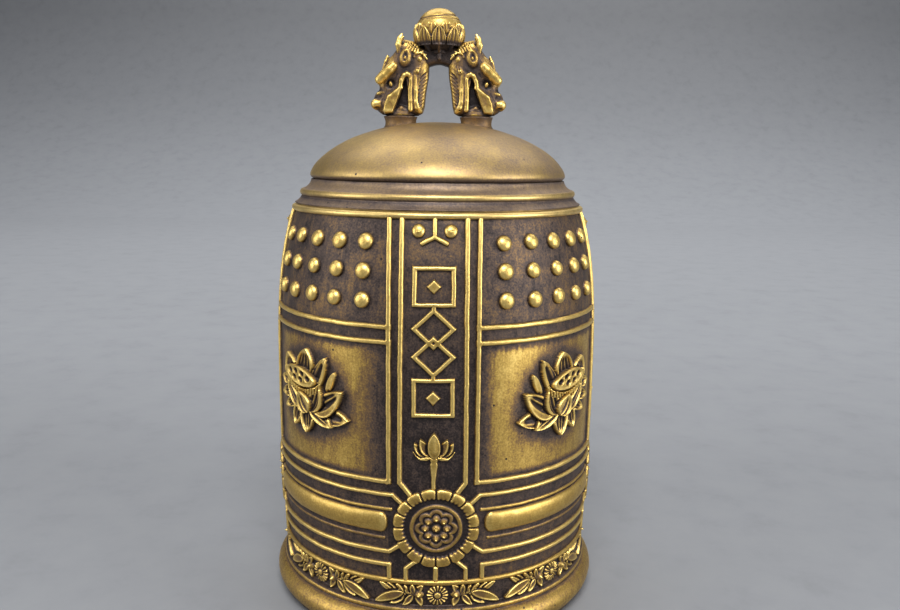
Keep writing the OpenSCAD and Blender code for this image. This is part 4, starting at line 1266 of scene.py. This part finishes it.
def rod():
    """The rod with the eye it hangs by."""
    bottom, top = low("clapper_rod")[2], high("clapper_rod")[2]
    bend = (high("clapper_rod")[1] - low("clapper_rod")[1]) / 2 - WIRE
    eye_z = top - bend - WIRE
    s = Solid((-2.6, -4.4, bottom - 0.4), (2.6, 4.4, top + 0.5), 0.16)
    ring = [(0, bend * math.sin(t), eye_z + bend * math.cos(t)) for t in np.linspace(0, math.pi, 17)]
    s.rod(ring, [ROUGH_WIRE] * 17, 0.05)
    s.rod([(0, 0, bottom + 1.6), (0, 0, eye_z - bend - 0.8)], [1.6, 1.6], 0.3)
    s.roughen(0.03, 4.0, 93)
    s.piece("clapper_rod", "forged", "plain_brass", "clapper", base=0.40)


def ball_and_tip():
    ball_z = mid("clapper_ball")[2]
    ball_r = (high("clapper_ball")[0] - low("clapper_ball")[0]) / 2
    turns = np.radians(np.linspace(-77, 77, 60))
    ball = [(1.62, ball_z - 7.0)] + [(ball_r * math.cos(t), ball_z + ball_r * math.sin(t)) for t in turns]
    ball += [(1.62, ball_z + 7.0)]
    foot = low("clapper_tip")[2]
    tip = [(0, foot), (1.5, foot), (1.8, foot + 0.25), (2.55, foot + 2.2), (2.6, foot + 3.4),
           (2.3, foot + 3.75), (0, foot + 3.8)]

    def rub(phi, r, z):
        return 0.40 + 0.10 * uneven(90, 6, phi, r, z)

    def push(phi, r, z):
        return -0.1 * np.abs(uneven(94, 5, phi, r, z)) - 0.18 * hump(z - ball_z, 0.2)

    turned("clapper_ball", "cast", resampled(ball, 0.3), 120, rub, "plain_brass", "clapper", push)
    turned("clapper_tip", "turned", resampled(tip, 0.25), 64, rub, "plain_brass", "clapper")


def washers():
    z0, z1 = low("tenon_washers")[2], high("tenon_washers")[2]
    outline = resampled([(2.6, z0), (3.7, z0), (3.9, z0 + 0.2), (3.9, z1), (2.6, z1), (2.6, z0)], 0.25)[:-1]
    points, quads = lathe(outline, 64)[:2]
    shift = np.array([POST_X, 0, 0])
    quads = np.concatenate([quads, quads + len(points)])
    points = np.concatenate([points - shift, points + shift])
    mesh_object("tenon_washers", "turned", points, quads, np.full(len(points), 0.38), "bell", "plain_brass")


# ---- setting ----
def placed(data, place):
    thing = bpy.data.objects.new(data.name, data)
    bpy.context.scene.collection.objects.link(thing)
    thing.location = place
    return thing


def camera():
    data = bpy.data.cameras.new("camera")
    data.lens, data.sensor_width = 34.0, 36.0
    data.clip_start = 0.01
    eye_point = placed(data, (0.00356, -0.2263, 0.1145))
    down, roll = math.radians(9.97), math.radians(0.68)
    look = Euler((math.pi / 2 - down, 0, 0)).to_matrix() @ Euler((0, 0, roll)).to_matrix()
    eye_point.rotation_euler = look.to_euler()
    bpy.context.scene.camera = eye_point


def soft_light(name, place, size, power, target=(0, 0, 0.07)):
    data = bpy.data.lights.new(name, "AREA")
    data.shape, data.size, data.size_y = "RECTANGLE", size[0], size[1]
    data.energy = power
    lamp = placed(data, place)
    lamp.rotation_euler = (Vector(target) - Vector(place)).to_track_quat("-Z", "Y").to_euler()


def floor_material():
    """Grey with painted light and shade, changing from the front of the floor to the top of the backdrop,
    with faint marks.
    """
    n = Nodes("floor")
    parts = n.new("SeparateXYZ")
    n.link(n.place, parts.inputs[0])
    away = n.math("ADD", parts.outputs[1], n.math("MULTIPLY", parts.outputs[2], 2.0))
    share = n.math("MULTIPLY", n.math("ADD", away, 0.1), 1 / 3.1)
    # Painted light and shade: the grey is darker at the front and up the backdrop, and lightest at the back
    # of the floor.
    painted_falloff = ((0.0, 0.180), (0.06, 0.200), (0.13, 0.265), (0.21, 0.300), (0.30, 0.320), (0.45, 0.335),
              (0.62, 0.275), (0.78, 0.200), (0.97, 0.135))
    specks = ((0.30, (0.90, 0.90, 0.90)), (0.46, (1, 1, 1)), (0.60, (1.04, 1.04, 1.03)))
    mix = n.new("Mix")
    mix.data_type, mix.blend_type = "RGBA", "MULTIPLY"
    mix.inputs[0].default_value = 1.0
    n.link(n.colours(share, [(at, (0.97 * v, v, 1.06 * v)) for at, v in painted_falloff]), mix.inputs[6])
    n.link(n.colours(n.noise(22, 7, 0.7), specks), mix.inputs[7])
    n.link(mix.outputs[2], n.shader.inputs["Base Color"])
    n.shader.inputs["Roughness"].default_value = 0.55
    return n.material


def floor():
    """A pale floor that curves up into a backdrop."""
    outline = [(-1.2, 0.0), (1.2, 0.0)]
    turns = np.radians(np.linspace(6, 90, 15))
    outline += [(1.2 + 0.9 * math.sin(t), 0.9 - 0.9 * math.cos(t)) for t in turns] + [(2.1, 2.2)]
    half_width = 3.0
    points = [(x, y, z) for y, z in outline for x in (-half_width, half_width)]
    quads = [(2 * k, 2 * k + 1, 2 * k + 3, 2 * k + 2) for k in range(len(outline) - 1)]
    mesh = bpy.data.meshes.new("floor")
    mesh.from_pydata(points, [], quads)
    mesh.polygons.foreach_set("use_smooth", [True] * len(quads))
    mesh.materials.append(floor_material())
    placed(mesh, (0, 0, 0))


def studio():
    """The floor, a grey room and four soft lights."""
    floor()
    world = bpy.data.worlds.new("room")
    world.use_nodes = True
    background = world.node_tree.nodes["Background"]
    background.inputs[0].default_value = (0.55, 0.57, 0.62, 1)
    background.inputs[1].default_value = 0.45
    bpy.context.scene.world = world
    soft_light("key", (0.0, -0.55, 0.75), (0.5, 0.35), 9.0)
    soft_light("left", (-0.75, -0.25, 0.3), (0.4, 0.6), 3.2)
    soft_light("right", (0.75, -0.35, 0.25), (0.4, 0.5), 5.2)
    soft_light("backdrop", (0.2, 0.9, 1.5), (2.4, 1.2), 30.0, target=(0.1, 1.6, 0.0))
    bpy.context.scene.view_settings.view_transform = "Standard"


SIDES = ((-1, "left"), (1, "right"))

camera()
studio()
bell_shell()
wall_relief()
frieze_ring()
shoulder()
crown()
for sign, side_name in SIDES:
    post(sign, f"{side_name}_post")
for sign, side_name in SIDES:
    dragon_head(sign, f"{side_name}_dragon_head")
    brow_horn(sign, f"{side_name}_brow_horns")
arch()
lotus_cup()
jewel()
staple()
link()
rod()
ball_and_tip()
washers()
